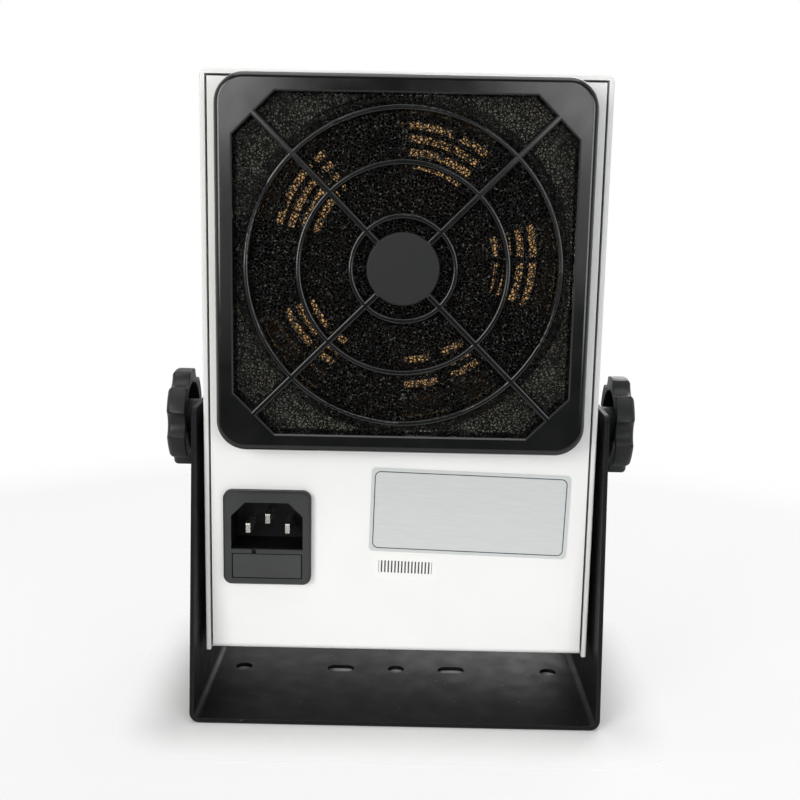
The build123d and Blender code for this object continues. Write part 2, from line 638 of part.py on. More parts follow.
# Fan frame: two square flanges on a round duct, and struts to the motor plate
motor_plate_y = fan_front_y + MOTOR_PLATE
hub_rear_y = rear_inner_y - HUB_CAP
hub_front_y = motor_plate_y + STATOR_GAP
hub_inner = HUB_RADIUS - HUB_WALL
tube_end_y = hub_rear_y - HUB_CAP - 2 * STATOR_GAP
with BuildPart() as fan_frame:
    with BuildSketch(rear_plane(fan_front_y, 0, fan_z)):
        Circle(FAN_SIZE / 2)
    extrude(amount=FAN_DEPTH)
    for start in (fan_front_y, rear_inner_y - FAN_FLANGE):
        with BuildSketch(rear_plane(start, 0, fan_z)):
            RectangleRounded(FAN_SIZE, FAN_SIZE, FAN_CORNER)
            with GridLocations(2 * fan_hole, 2 * fan_hole, 2, 2):
                Circle(M4_RADIUS + SCREW_CLEARANCE, mode=Mode.SUBTRACT)
        extrude(amount=FAN_FLANGE)
    with BuildSketch(rear_plane(fan_front_y, 0, fan_z)):
        Circle(duct_radius)
    extrude(amount=FAN_DEPTH, mode=Mode.SUBTRACT)
    with BuildSketch(rear_plane(fan_front_y, 0, fan_z)):
        Circle(HUB_RADIUS)
        for turn in (20, 110):
            Rectangle(2 * duct_radius + FAN_DUCT_WALL, FAN_STRUT_WIDTH, rotation=turn)
    extrude(amount=MOTOR_PLATE)
    with BuildSketch(rear_plane(motor_plate_y, 0, fan_z)):
        Circle(BEARING_TUBE_RADIUS)
    extrude(amount=tube_end_y - motor_plate_y)
    with BuildSketch(rear_plane(motor_plate_y, 0, fan_z)):
        Circle(BEARING_RADIUS)
    extrude(amount=tube_end_y - motor_plate_y, mode=Mode.SUBTRACT)

with BuildPart() as fan_stator:
    with BuildSketch(rear_plane(motor_plate_y, 0, fan_z)):
        Circle(hub_inner - STATOR_GAP)
        Circle(BEARING_TUBE_RADIUS + PRESS_GAP, mode=Mode.SUBTRACT)
    extrude(amount=tube_end_y - motor_plate_y - 2 * STATOR_GAP)
with BuildPart() as fan_bearings:
    for start in (motor_plate_y, tube_end_y - BEARING_LENGTH):
        with BuildSketch(rear_plane(start, 0, fan_z)):
            Circle(BEARING_RADIUS - PRESS_GAP)
            Circle(FAN_SHAFT_RADIUS + RUN_FIT, mode=Mode.SUBTRACT)
        extrude(amount=BEARING_LENGTH)

# Fan rotor: cup hub with cambered, twisted blades trimmed to the duct
blade_mid_y = (hub_front_y + hub_rear_y) / 2
root_radius = hub_inner - HUB_WALL
outer_radius = tip_radius + HUB_WALL
with BuildPart() as fan_rotor:
    with BuildSketch(rear_plane(hub_front_y, 0, fan_z)):
        Circle(HUB_RADIUS)
    extrude(amount=hub_rear_y - hub_front_y)
    for index in range(BLADE_COUNT):
        angle = radians(BLADE_START + 360 * index / BLADE_COUNT)
        radial = Vector(-cos(angle), 0, sin(angle))
        around = Vector(sin(angle), 0, cos(angle))
        middle = Vector(0, blade_mid_y, fan_z)
        sections = (
            (root_radius, BLADE_ROOT_PITCH, BLADE_ROOT_SHARE * BLADE_CHORD),
            (outer_radius, BLADE_TIP_PITCH, BLADE_CHORD),
        )
        for radius, pitch, chord in sections:
            along = around * cos(radians(pitch)) + Vector(0, 1, 0) * sin(radians(pitch))
            section_plane = Plane(origin=middle + radial * radius, x_dir=along, z_dir=radial)
            with BuildSketch(section_plane):
                with BuildLine():
                    half = chord / 2
                    edge = BLADE_THICKNESS / 2
                    ThreePointArc((-half, -edge), (0, BLADE_CAMBER - edge), (half, -edge))
                    Line((half, -edge), (half, edge))
                    ThreePointArc((half, edge), (0, BLADE_CAMBER + edge), (-half, edge))
                    Line((-half, edge), (-half, -edge))
                make_face()
        loft()
    with BuildSketch(rear_plane(hub_front_y, 0, fan_z)):
        Circle(tip_radius)
    extrude(amount=hub_rear_y - hub_front_y, mode=Mode.INTERSECT)
    with BuildSketch(rear_plane(hub_front_y, 0, fan_z)):
        Circle(hub_inner)
    extrude(amount=hub_rear_y - HUB_CAP - hub_front_y, mode=Mode.SUBTRACT)
    with BuildSketch(rear_plane(hub_rear_y - HUB_CAP, 0, fan_z)):
        Circle(FAN_SHAFT_RADIUS + PRESS_GAP)
    extrude(amount=HUB_CAP, mode=Mode.SUBTRACT)
with BuildPart() as fan_shaft:
    with BuildSketch(rear_plane(motor_plate_y + REST_GAP, 0, fan_z)):
        Circle(FAN_SHAFT_RADIUS)
    extrude(amount=hub_rear_y - motor_plate_y - REST_GAP)

# Emitter ring behind the front panel, with its pins pointing at the axis
emitter_inner = outlet_radius + EMITTER_CLEARANCE
emitter_outer = emitter_inner + EMITTER_WALL
emitter_y = front_inner_y + EMITTER_DEPTH / 2
pin_tip_radius = emitter_inner - EMITTER_BOSS_LENGTH - EMITTER_PIN_REACH
with BuildPart() as emitter_ring:
    with BuildSketch(rear_plane(front_inner_y, 0, fan_z)):
        Circle(emitter_outer)
        Circle(emitter_inner, mode=Mode.SUBTRACT)
        with PolarLocations(grille_screw_radius, 4, start_angle=45):
            Circle(M3_RADIUS + THREAD_CLEARANCE, mode=Mode.SUBTRACT)
    extrude(amount=EMITTER_DEPTH)
    for index in range(EMITTER_COUNT):
        angle = radians(360 * (index + 0.5) / EMITTER_COUNT)
        inward = Vector(-cos(angle), 0, -sin(angle))
        seat = Vector(0, emitter_y, fan_z) - inward * (emitter_inner + EMITTER_SEAT)
        with BuildSketch(Plane(origin=seat, x_dir=(0, 1, 0), z_dir=inward)):
            Circle(EMITTER_BOSS_RADIUS)
        extrude(amount=EMITTER_BOSS_LENGTH + EMITTER_SEAT)
        with BuildSketch(Plane(origin=seat, x_dir=(0, 1, 0), z_dir=inward)):
            Circle(EMITTER_PIN_RADIUS + PRESS_GAP)
        extrude(amount=EMITTER_BOSS_LENGTH + EMITTER_SEAT, mode=Mode.SUBTRACT)
with BuildPart() as emitter_pins:
    for index in range(EMITTER_COUNT):
        angle = radians(360 * (index + 0.5) / EMITTER_COUNT)
        inward = Vector(-cos(angle), 0, -sin(angle))
        seat = Vector(0, emitter_y, fan_z) - inward * (emitter_inner + EMITTER_SEAT)
        shank = EMITTER_BOSS_LENGTH + EMITTER_SEAT + EMITTER_PIN_REACH - EMITTER_POINT
        with Locations(Plane(origin=seat, x_dir=(0, 1, 0), z_dir=inward)):
            Cylinder(
                EMITTER_PIN_RADIUS, shank, align=(Align.CENTER, Align.CENTER, Align.MIN),
            )
        with Locations(Plane(origin=seat + inward * shank, x_dir=(0, 1, 0), z_dir=inward)):
            Cone(
                EMITTER_PIN_RADIUS, EMITTER_TIP_RADIUS, EMITTER_POINT,
                align=(Align.CENTER, Align.CENTER, Align.MIN),
            )

# Outlet grille: flange on the front panel, concentric bars and a bored boss
grille_outer = outlet_radius + GRILLE_FLANGE
grille_front_y = front_y - GRILLE_THICKNESS
grille_back_y = grille_front_y + GRILLE_DEPTH
ring_room = outlet_radius - GRILLE_BAR / 2 - GRILLE_BOSS_RADIUS
ring_total = int(ring_room / GRILLE_PITCH)
ring_step = ring_room / (ring_total + 1)
with BuildPart() as outlet_grille:
    with BuildSketch(front_plane(front_y, 0, fan_z)):
        Circle(grille_outer)
        Circle(outlet_radius - GRILLE_BAR, mode=Mode.SUBTRACT)
        with PolarLocations(grille_screw_radius, 4, start_angle=45):
            Circle(M3_RADIUS + SCREW_CLEARANCE, mode=Mode.SUBTRACT)
    extrude(amount=GRILLE_THICKNESS)
    fillet(outlet_grille.edges().group_by(Axis.Y)[0].sort_by(SortBy.LENGTH)[-1], GRILLE_EDGE)
    with BuildSketch(front_plane(grille_back_y, 0, fan_z)):
        Circle(outlet_radius - REST_GAP)
        Circle(outlet_radius - GRILLE_BAR, mode=Mode.SUBTRACT)
        for index in range(ring_total, 0, -1):
            radius = GRILLE_BOSS_RADIUS + index * ring_step
            Circle(radius + GRILLE_BAR / 2)
            Circle(radius - GRILLE_BAR / 2, mode=Mode.SUBTRACT)
        Circle(GRILLE_BOSS_RADIUS)
        for turn in range(0, 180, 45):
            Rectangle(2 * outlet_radius - GRILLE_BAR, GRILLE_BAR, rotation=turn)
        Circle(CLEANER_SHAFT_RADIUS + RUN_FIT, mode=Mode.SUBTRACT)
    extrude(amount=GRILLE_DEPTH)
with BuildPart() as grille_screws:
    with BuildSketch(front_plane(grille_front_y, 0, fan_z)):
        with PolarLocations(grille_screw_radius, 4, start_angle=45):
            Circle(M3_HEAD_RADIUS)
    extrude(amount=M3_HEAD_HEIGHT)
    fillet(grille_screws.edges().group_by(Axis.Y)[0], HEAD_EDGE)
    with BuildSketch(front_plane(grille_front_y - M3_HEAD_HEIGHT, 0, fan_z)):
        with PolarLocations(grille_screw_radius, 4, start_angle=45):
            cross_recess(M3_HEAD_RADIUS)
    extrude(amount=-RECESS_DEPTH * M3_HEAD_HEIGHT, mode=Mode.SUBTRACT)
    with BuildSketch(front_plane(grille_front_y, 0, fan_z)):
        with PolarLocations(grille_screw_radius, 4, start_angle=45):
            Circle(M3_RADIUS)
    extrude(amount=-(GRILLE_THICKNESS + SHEET + EMITTER_DEPTH / 2))

# Emitter cleaner: a knob on the grille turns an arm whose brush sweeps the pin points
arm_y = emitter_y - CLEANER_ARM_THICKNESS / 2
brush_outer = pin_tip_radius - BRUSH_CLEARANCE
cleaner_knob_y = grille_front_y - 3 * REST_GAP
with BuildPart() as cleaner_shaft:
    with BuildSketch(front_plane(arm_y + CLEANER_ARM_THICKNESS, 0, fan_z)):
        Circle(CLEANER_SHAFT_RADIUS)
    extrude(amount=arm_y + CLEANER_ARM_THICKNESS - cleaner_knob_y + CLEANER_KNOB_HEIGHT / 2)
with BuildPart() as cleaner_knob:
    with BuildSketch(front_plane(cleaner_knob_y, 0, fan_z)):
        Circle(CLEANER_KNOB_RADIUS)
        flute_centre = CLEANER_KNOB_RADIUS + CLEANER_FLUTE_RADIUS - CLEANER_FLUTE_DEPTH
        with PolarLocations(flute_centre, CLEANER_KNOB_FLUTES):
            Circle(CLEANER_FLUTE_RADIUS, mode=Mode.SUBTRACT)
    extrude(amount=CLEANER_KNOB_HEIGHT)
    with BuildSketch(front_plane(cleaner_knob_y, 0, fan_z)):
        Circle(CLEANER_SHAFT_RADIUS + PRESS_GAP)
    extrude(amount=CLEANER_KNOB_HEIGHT / 2, mode=Mode.SUBTRACT)
with BuildPart() as cleaner_arm:
    with BuildSketch(rear_plane(arm_y, 0, fan_z)):
        Circle(CLEANER_HUB_RADIUS)
        with Locations((0, (brush_outer - BRUSH_LENGTH) / 2)):
            Rectangle(CLEANER_ARM_WIDTH, brush_outer - BRUSH_LENGTH)
        Circle(CLEANER_SHAFT_RADIUS + PRESS_GAP, mode=Mode.SUBTRACT)
    extrude(amount=CLEANER_ARM_THICKNESS)
with BuildPart() as cleaner_brush:
    with BuildSketch(rear_plane(arm_y, 0, fan_z)):
        with Locations((0, brush_outer - BRUSH_LENGTH / 2)):
            Rectangle(BRUSH_WIDTH, BRUSH_LENGTH)
    extrude(amount=CLEANER_ARM_THICKNESS)

# Mains inlet: flange, insulating body, plug socket, fuse drawer slot and a notch to pull it by
inlet_face_y = rear_y + INLET_FLANGE
socket_floor_y = inlet_face_y - SOCKET_DEPTH
slot_end_y = inlet_face_y - drawer_length - DRAWER_CLEARANCE
inlet_back_y = min(socket_floor_y, slot_end_y) - INLET_BACK_WALL
socket_top_z = inlet_z + inlet_body_height / 2 - INLET_TOP_WALL
socket_z = socket_top_z - SOCKET_HEIGHT / 2
drawer_z = socket_top_z - SOCKET_HEIGHT - INLET_MIDDLE_WALL - slot_height / 2
pin_z = socket_z + PIN_RAISE - PIN_HEIGHT
pin_places = [(-PIN_PITCH / 2, 0), (PIN_PITCH / 2, 0), (0, EARTH_RAISE)]
with BuildPart() as inlet_body:
    with BuildSketch(rear_plane(rear_y, inlet_x, inlet_z)):
        RectangleRounded(inlet_width, inlet_height, INLET_CORNER)
    extrude(amount=INLET_FLANGE)
    chamfer(inlet_body.edges().group_by(Axis.Y)[-1], INLET_CHAMFER)
    with BuildSketch(rear_plane(rear_y, inlet_x, inlet_z)):
        Rectangle(inlet_body_width, inlet_body_height)
    extrude(amount=inlet_back_y - rear_y)
    with BuildSketch(rear_plane(inlet_face_y, inlet_x, socket_z)) as socket_outline:
        Rectangle(SOCKET_WIDTH, SOCKET_HEIGHT)
        chamfer(socket_outline.vertices().group_by(Axis.Y)[-1], SOCKET_CHAMFER)
    extrude(amount=-SOCKET_DEPTH, mode=Mode.SUBTRACT)
    with BuildSketch(rear_plane(inlet_face_y, inlet_x, drawer_z)):
        Rectangle(slot_width, slot_height)
    extrude(amount=slot_end_y - inlet_face_y, mode=Mode.SUBTRACT)
    with BuildSketch(rear_plane(inlet_face_y, inlet_x, socket_top_z - SOCKET_HEIGHT)):
        with Locations((-NOTCH_X, 0)):
            Rectangle(NOTCH_WIDTH, 2 * INLET_MIDDLE_WALL)
    extrude(amount=-NOTCH_DEPTH, mode=Mode.SUBTRACT)
    with BuildSketch(rear_plane(socket_floor_y, inlet_x, pin_z)):
        with Locations(*pin_places):
            Rectangle(PIN_WIDTH + 2 * PIN_FIT, PIN_HEIGHT + 2 * PIN_FIT)
    extrude(amount=inlet_back_y - socket_floor_y, mode=Mode.SUBTRACT)
with BuildPart() as inlet_pins:
    with BuildSketch(rear_plane(inlet_face_y - PIN_SETBACK, inlet_x, pin_z)):
        with Locations(*pin_places):
            Rectangle(PIN_WIDTH, PIN_HEIGHT)
    extrude(amount=inlet_back_y - PIN_TAIL - inlet_face_y + PIN_SETBACK)

# Fuse drawer: face, floor, two side rails and a tail bar, with a working and a spare fuse
drawer_inner_y = inlet_face_y - DRAWER_FACE
drawer_end_y = inlet_face_y - drawer_length
drawer_floor_z = drawer_z - drawer_height / 2 + DRAWER_FLOOR
fuse_z = drawer_floor_z + FUSE_RADIUS + REST_GAP
with BuildPart() as fuse_drawer:
    with BuildSketch(rear_plane(drawer_inner_y, inlet_x, drawer_z)):
        Rectangle(drawer_width, drawer_height)
    extrude(amount=DRAWER_FACE)
    with BuildSketch(rear_plane(drawer_end_y, inlet_x, drawer_z)):
        Rectangle(drawer_width, drawer_height)
        with Locations((0, DRAWER_FLOOR)):
            Rectangle(drawer_width - 2 * DRAWER_WALL, drawer_height, mode=Mode.SUBTRACT)
    extrude(amount=drawer_inner_y - drawer_end_y)
    with BuildSketch(rear_plane(drawer_end_y, inlet_x, drawer_z)):
        Rectangle(drawer_width, drawer_height)
    extrude(amount=DRAWER_WALL)
with BuildPart() as fuses:
    for fuse_y in (
        drawer_inner_y - FUSE_RADIUS - REST_GAP,
        drawer_end_y + DRAWER_WALL + FUSE_RADIUS + REST_GAP,
    ):
        with Locations(Location((inlet_x, fuse_y, fuse_z), (0, 90, 0))):
            Cylinder(FUSE_RADIUS, FUSE_LENGTH)

# Bare rating plate between the side and the inlet, and a bare sticker under it
plate_width = inlet_x - inlet_width / 2 - PLATE_INLET_GAP + housing_half - PLATE_SIDE_GAP
plate_x = PLATE_SIDE_GAP + plate_width / 2 - housing_half
plate_z = fan_z - filter_half - PLATE_BELOW_FILTER - PLATE_HEIGHT / 2
sticker_x = plate_x + STICKER_ALONG
sticker_z = plate_z - PLATE_HEIGHT / 2 - STICKER_DROP - STICKER_HEIGHT / 2
with BuildPart() as rating_plate:
    with BuildSketch(rear_plane(rear_y, plate_x, plate_z)):
        RectangleRounded(plate_width, PLATE_HEIGHT, PLATE_CORNER, rotation=PLATE_TURN)
    extrude(amount=PLATE_THICKNESS)
with BuildPart() as serial_sticker:
    with BuildSketch(rear_plane(rear_y, sticker_x, sticker_z)):
        RectangleRounded(STICKER_WIDTH, STICKER_HEIGHT, STICKER_CORNER, rotation=PLATE_TURN)
    extrude(amount=STICKER_THICKNESS)

# Speed switch behind the front panel, with its nut, shaft and knob
bushing_end_y = front_y - BUSHING_LENGTH
switch_back_y = front_inner_y + SWITCH_DEPTH
nut_front_y = front_y - SWITCH_NUT_HEIGHT
knob_back_y = front_y - SPEED_KNOB_GAP
knob_front_y = knob_back_y - SPEED_KNOB_HEIGHT
knob_core_y = bushing_end_y - 4 * REST_GAP
shaft_start_y = front_inner_y + SWITCH_DEPTH / 2
with BuildPart() as speed_switch:
    with BuildSketch(front_plane(switch_back_y, speed_x, control_z)):
        Circle(SWITCH_RADIUS)
    extrude(amount=SWITCH_DEPTH)
    with BuildSketch(front_plane(front_inner_y, speed_x, control_z)):
        Circle(BUSHING_RADIUS)
    extrude(amount=SHEET + BUSHING_LENGTH)
    with BuildSketch(front_plane(shaft_start_y + RUN_FIT, speed_x, control_z)):
        Circle(SPEED_SHAFT_RADIUS + RUN_FIT)
    extrude(amount=shaft_start_y + RUN_FIT - bushing_end_y, mode=Mode.SUBTRACT)
with BuildPart() as switch_nut:
    with BuildSketch(front_plane(front_y, speed_x, control_z)):
        RegularPolygon(SWITCH_NUT_RADIUS, 6)
        Circle(BUSHING_RADIUS + THREAD_CLEARANCE, mode=Mode.SUBTRACT)
    extrude(amount=SWITCH_NUT_HEIGHT)
with BuildPart() as speed_shaft:
    with BuildSketch(front_plane(shaft_start_y, speed_x, control_z)):
        Circle(SPEED_SHAFT_RADIUS)
    extrude(amount=shaft_start_y - knob_front_y - SPEED_KNOB_WALL)
with BuildPart() as speed_knob:
    with BuildSketch(front_plane(knob_back_y, speed_x, control_z)):
        Circle(SPEED_KNOB_RADIUS)
        flute_centre = SPEED_KNOB_RADIUS + SPEED_FLUTE_RADIUS - SPEED_FLUTE_DEPTH
        half_step = 180 / SPEED_KNOB_FLUTES
        with PolarLocations(flute_centre, SPEED_KNOB_FLUTES, start_angle=90 + half_step):
            Circle(SPEED_FLUTE_RADIUS, mode=Mode.SUBTRACT)
    extrude(amount=SPEED_KNOB_HEIGHT)
    with BuildSketch(front_plane(knob_front_y, speed_x, control_z)):
        with Locations((0, SPEED_KNOB_RADIUS / 2)):
            Rectangle(POINTER_WIDTH, SPEED_KNOB_RADIUS)
    extrude(amount=-POINTER_DEPTH, mode=Mode.SUBTRACT)
    with BuildSketch(front_plane(knob_back_y, speed_x, control_z)):
        Circle(SPEED_KNOB_RADIUS - SPEED_KNOB_WALL)
    extrude(amount=knob_back_y - knob_core_y, mode=Mode.SUBTRACT)
    with BuildSketch(front_plane(knob_core_y, speed_x, control_z)):
        Circle(SPEED_SHAFT_RADIUS + PRESS_GAP)
    extrude(amount=knob_core_y - knob_front_y - SPEED_KNOB_WALL, mode=Mode.SUBTRACT)

# Power lamp: a flanged lens through the front panel
with BuildPart() as power_lamp:
    with BuildSketch(front_plane(front_y, lamp_x, control_z)):
        Circle(LAMP_RADIUS + LAMP_FLANGE)
    extrude(amount=LAMP_FLANGE)
    with BuildSketch(front_plane(front_y - LAMP_FLANGE, lamp_x, control_z)):
        Circle(LAMP_RADIUS)
    extrude(amount=LAMP_RADIUS / 2)
    fillet(power_lamp.edges().group_by(Axis.Y)[0], LAMP_CROWN)
    with BuildSketch(front_plane(front_y, lamp_x, control_z)):
        Circle(LAMP_RADIUS)
    extrude(amount=-LAMP_DEPTH)

# High-voltage transformer on the floor, its screws and its terminal
terminal_y = emitter_y
transformer_top_z = floor_top_z + TRANSFORMER_HEIGHT
with BuildPart() as hv_transformer:
    with BuildSketch(Plane.XY.offset(floor_top_z)):
        with Locations((transformer_x, transformer_y)):
            Rectangle(TRANSFORMER_WIDTH + 2 * TRANSFORMER_FOOT, TRANSFORMER_DEPTH - 4 * BEND_INSIDE)
            with GridLocations(2 * transformer_screw, 1, 2, 1):
                Circle(M3_RADIUS + THREAD_CLEARANCE, mode=Mode.SUBTRACT)
    extrude(amount=TRANSFORMER_PLATE)
    with BuildSketch(Plane.XY.offset(floor_top_z + TRANSFORMER_PLATE)):
        with Locations((transformer_x, transformer_y)):
            RectangleRounded(TRANSFORMER_WIDTH, TRANSFORMER_DEPTH, TRANSFORMER_CORNER)
    extrude(amount=TRANSFORMER_HEIGHT - TRANSFORMER_PLATE)
    with BuildSketch(Plane.XY.offset(transformer_top_z)):
        with Locations((transformer_x, terminal_y)):
            Circle(TERMINAL_RADIUS)
    extrude(amount=TERMINAL_HEIGHT)
with BuildPart() as transformer_screws:
    with BuildSketch(Plane.XY.offset(floor_z)):
        with Locations((transformer_x, transformer_y)):
            with GridLocations(2 * transformer_screw, 1, 2, 1):
                Circle(M3_HEAD_RADIUS)
    extrude(amount=-M3_HEAD_HEIGHT)
    fillet(transformer_screws.edges().group_by(Axis.Z)[0], HEAD_EDGE)
    with BuildSketch(Plane.XY.offset(floor_z - M3_HEAD_HEIGHT)):
        with Locations((transformer_x, transformer_y)):
            with GridLocations(2 * transformer_screw, 1, 2, 1):
                cross_recess(M3_HEAD_RADIUS)
    extrude(amount=RECESS_DEPTH * M3_HEAD_HEIGHT, mode=Mode.SUBTRACT)
    with BuildSketch(Plane.XY.offset(floor_z)):
        with Locations((transformer_x, transformer_y)):
            with GridLocations(2 * transformer_screw, 1, 2, 1):
                Circle(M3_RADIUS)
    extrude(amount=SHEET + TRANSFORMER_PLATE + 2 * SCREW_PROUD)


def lead_route(points, bend):
    # Path of an insulated wire: straight runs joined by arcs
    with BuildLine() as route:
        FilletPolyline(*points, radius=bend)
    return route.line


# Wiring: transformer to the emitter ring, inlet to the switch, switch to the fan
terminal_top_z = transformer_top_z + TERMINAL_HEIGHT
hv_x = transformer_x + HV_LEAD_SHIFT
ring_foot_z = fan_z - sqrt(emitter_outer**2 - (abs(hv_x) - HV_LEAD_RADIUS) ** 2)
hv_room = ring_foot_z - REST_GAP - terminal_top_z
hv_route = lead_route(
    [
        (transformer_x, terminal_y, terminal_top_z),
        (transformer_x, terminal_y, terminal_top_z + hv_room / 3),
        (hv_x, terminal_y, terminal_top_z + hv_room * 2 / 3),
        (hv_x, terminal_y, ring_foot_z - REST_GAP),
    ],
    hv_room / 5,
)
with BuildPart() as hv_lead:
    with BuildSketch(Plane(origin=hv_route @ 0, z_dir=hv_route % 0)):
        Circle(HV_LEAD_RADIUS)
    sweep(path=hv_route)
tail_y = inlet_back_y - PIN_TAIL
lead_room = tail_y - switch_back_y
terminal_z = control_z + SWITCH_TERMINAL_RAISE
with BuildPart() as supply_leads:
    for side in (1, -1):
        pin_x = inlet_x + side * PIN_PITCH / 2
        switch_x = speed_x + side * SWITCH_TERMINAL_SPREAD
        supply_route = lead_route(
            [
                (pin_x, tail_y, pin_z),
                (pin_x, tail_y - lead_room / 3, pin_z),
                (switch_x, switch_back_y + lead_room / 3, terminal_z),
                (switch_x, switch_back_y, terminal_z),
            ],
            lead_room / 8,
        )
        with BuildSketch(Plane(origin=supply_route @ 0, z_dir=supply_route % 0)):
            Circle(LEAD_RADIUS)
        sweep(path=supply_route)
fan_lead_y = fan_front_y + FAN_FLANGE / 2
fan_bottom_z = fan_z - FAN_SIZE / 2
fan_lead_x = speed_x - SWITCH_RADIUS - FAN_LEAD_GAP
fan_route = lead_route(
    [
        (speed_x, switch_back_y, control_z - FAN_LEAD_DROP),
        (speed_x, fan_lead_y, control_z - FAN_LEAD_DROP),
        (fan_lead_x, fan_lead_y, control_z + FAN_LEAD_RISE),
        (fan_lead_x, fan_lead_y, fan_bottom_z),
    ],
    FAN_LEAD_BEND,
)
with BuildPart() as fan_lead:
    with BuildSketch(Plane(origin=fan_route @ 0, z_dir=fan_route % 0)):
        Circle(LEAD_RADIUS)
    sweep(path=fan_route)

nodes = {
    "stand_bracket": stand_bracket,
    "chassis": chassis,
    "cover_wrap": cover_wrap,
    "cover_screws": cover_screws,
    "pivot_nuts": pivot_nuts,
    "friction_washers": friction_washers,
    "clamp_washer_right": clamp_washers["right"],
    "clamp_washer_left": clamp_washers["left"],
    "clamp_screw_right": clamp_screws["right"],
    "clamp_screw_left": clamp_screws["left"],
    "clamp_knob_right": clamp_knobs["right"],
    "clamp_knob_left": clamp_knobs["left"],
    "filter_base": filter_base,
    "filter_foam": filter_foam,
    "filter_cover": filter_cover,
    "filter_screws": filter_screws,
    "filter_nuts": filter_nuts,
    "fan_frame": fan_frame,
    "fan_stator": fan_stator,
    "fan_bearings": fan_bearings,
    "fan_rotor": fan_rotor,
    "fan_shaft": fan_shaft,
    "emitter_ring": emitter_ring,
    "emitter_pins": emitter_pins,
    "outlet_grille": outlet_grille,
    "grille_screws": grille_screws,
    "cleaner_shaft": cleaner_shaft,
    "cleaner_knob": cleaner_knob,
    "cleaner_arm": cleaner_arm,
    "cleaner_brush": cleaner_brush,
    "inlet_body": inlet_body,
    "inlet_pins": inlet_pins,
    "fuse_drawer": fuse_drawer,
    "fuses": fuses,
    "rating_plate": rating_plate,
    "serial_sticker": serial_sticker,
    "speed_switch": speed_switch,
    "switch_nut": switch_nut,
    "speed_shaft": speed_shaft,
    "speed_knob": speed_knob,
    "power_lamp": power_lamp,
    "hv_transformer": hv_transformer,
    "transformer_screws": transformer_screws,
    "hv_lead": hv_lead,
    "supply_leads": supply_leads,
    "fan_lead": fan_lead,
}
os.makedirs("parts", exist_ok=True)
for node_name, node in nodes.items():
    node.part.label = node_name
    export_step(node.part, f"parts/{node_name}.step")
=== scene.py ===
import math
import random

import bmesh
import bpy
from mathutils import Matrix, Vector, noise


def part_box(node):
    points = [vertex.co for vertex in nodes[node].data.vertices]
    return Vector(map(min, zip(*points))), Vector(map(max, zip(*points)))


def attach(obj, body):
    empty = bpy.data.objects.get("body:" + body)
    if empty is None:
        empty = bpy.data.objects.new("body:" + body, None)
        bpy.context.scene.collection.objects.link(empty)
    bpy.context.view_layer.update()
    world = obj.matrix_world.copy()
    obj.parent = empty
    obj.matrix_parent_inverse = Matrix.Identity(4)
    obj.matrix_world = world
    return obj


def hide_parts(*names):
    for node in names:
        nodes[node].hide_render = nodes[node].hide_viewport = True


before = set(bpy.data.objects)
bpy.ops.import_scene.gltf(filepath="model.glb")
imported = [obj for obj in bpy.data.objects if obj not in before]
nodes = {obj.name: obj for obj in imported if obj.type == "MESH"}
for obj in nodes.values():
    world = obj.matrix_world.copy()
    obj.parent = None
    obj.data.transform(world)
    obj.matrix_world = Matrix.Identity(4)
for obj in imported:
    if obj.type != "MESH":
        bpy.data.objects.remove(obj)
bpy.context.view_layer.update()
scene = bpy.context.scene
random.seed(7)
MM = 0.001
TOUCH = 1e-6
# Most of a noise pattern lies between these two values
NOISE_SPAN = {"From Min": 0.3, "From Max": 0.7}


def lin(code):
    """An sRGB hex colour in linear values."""
    parts = [int(code[i:i + 2], 16) / 255 for i in (1, 3, 5)]
    linear = (c / 12.92 if c <= 0.04045 else ((c + 0.055) / 1.055) ** 2.4 for c in parts)
    return tuple(linear) + (1.0,)


def per_mm(size):
    """The pattern scale for a feature of that many millimetres."""
    return 1.0 / (size * MM)


def add(tree, kind, links=None, values=None, **settings):
    """Adds one node with its settings, its socket values and the outputs that feed it."""
    item = tree.nodes.new(kind)
    for key, value in settings.items():
        setattr(item, key, value)
    for key, value in (values or {}).items():
        item.inputs[key].default_value = value
    for key, source in (links or {}).items():
        tree.links.new(source, item.inputs[key])
    return item


def surface(name):
    """A new material, with its node tree, its shader and the place on the object in metres."""
    material = bpy.data.materials.new(name)
    material.use_nodes = True
    tree = material.node_tree
    shader = tree.nodes["Principled BSDF"]
    place = add(tree, "ShaderNodeTexCoord").outputs["Object"]
    return material, tree, shader, place


def parts_of(material):
    """The tree, the shader and the place on the object of a material made before."""
    tree = material.node_tree
    place = tree.nodes["Texture Coordinate"].outputs["Object"]
    return tree, tree.nodes["Principled BSDF"], place


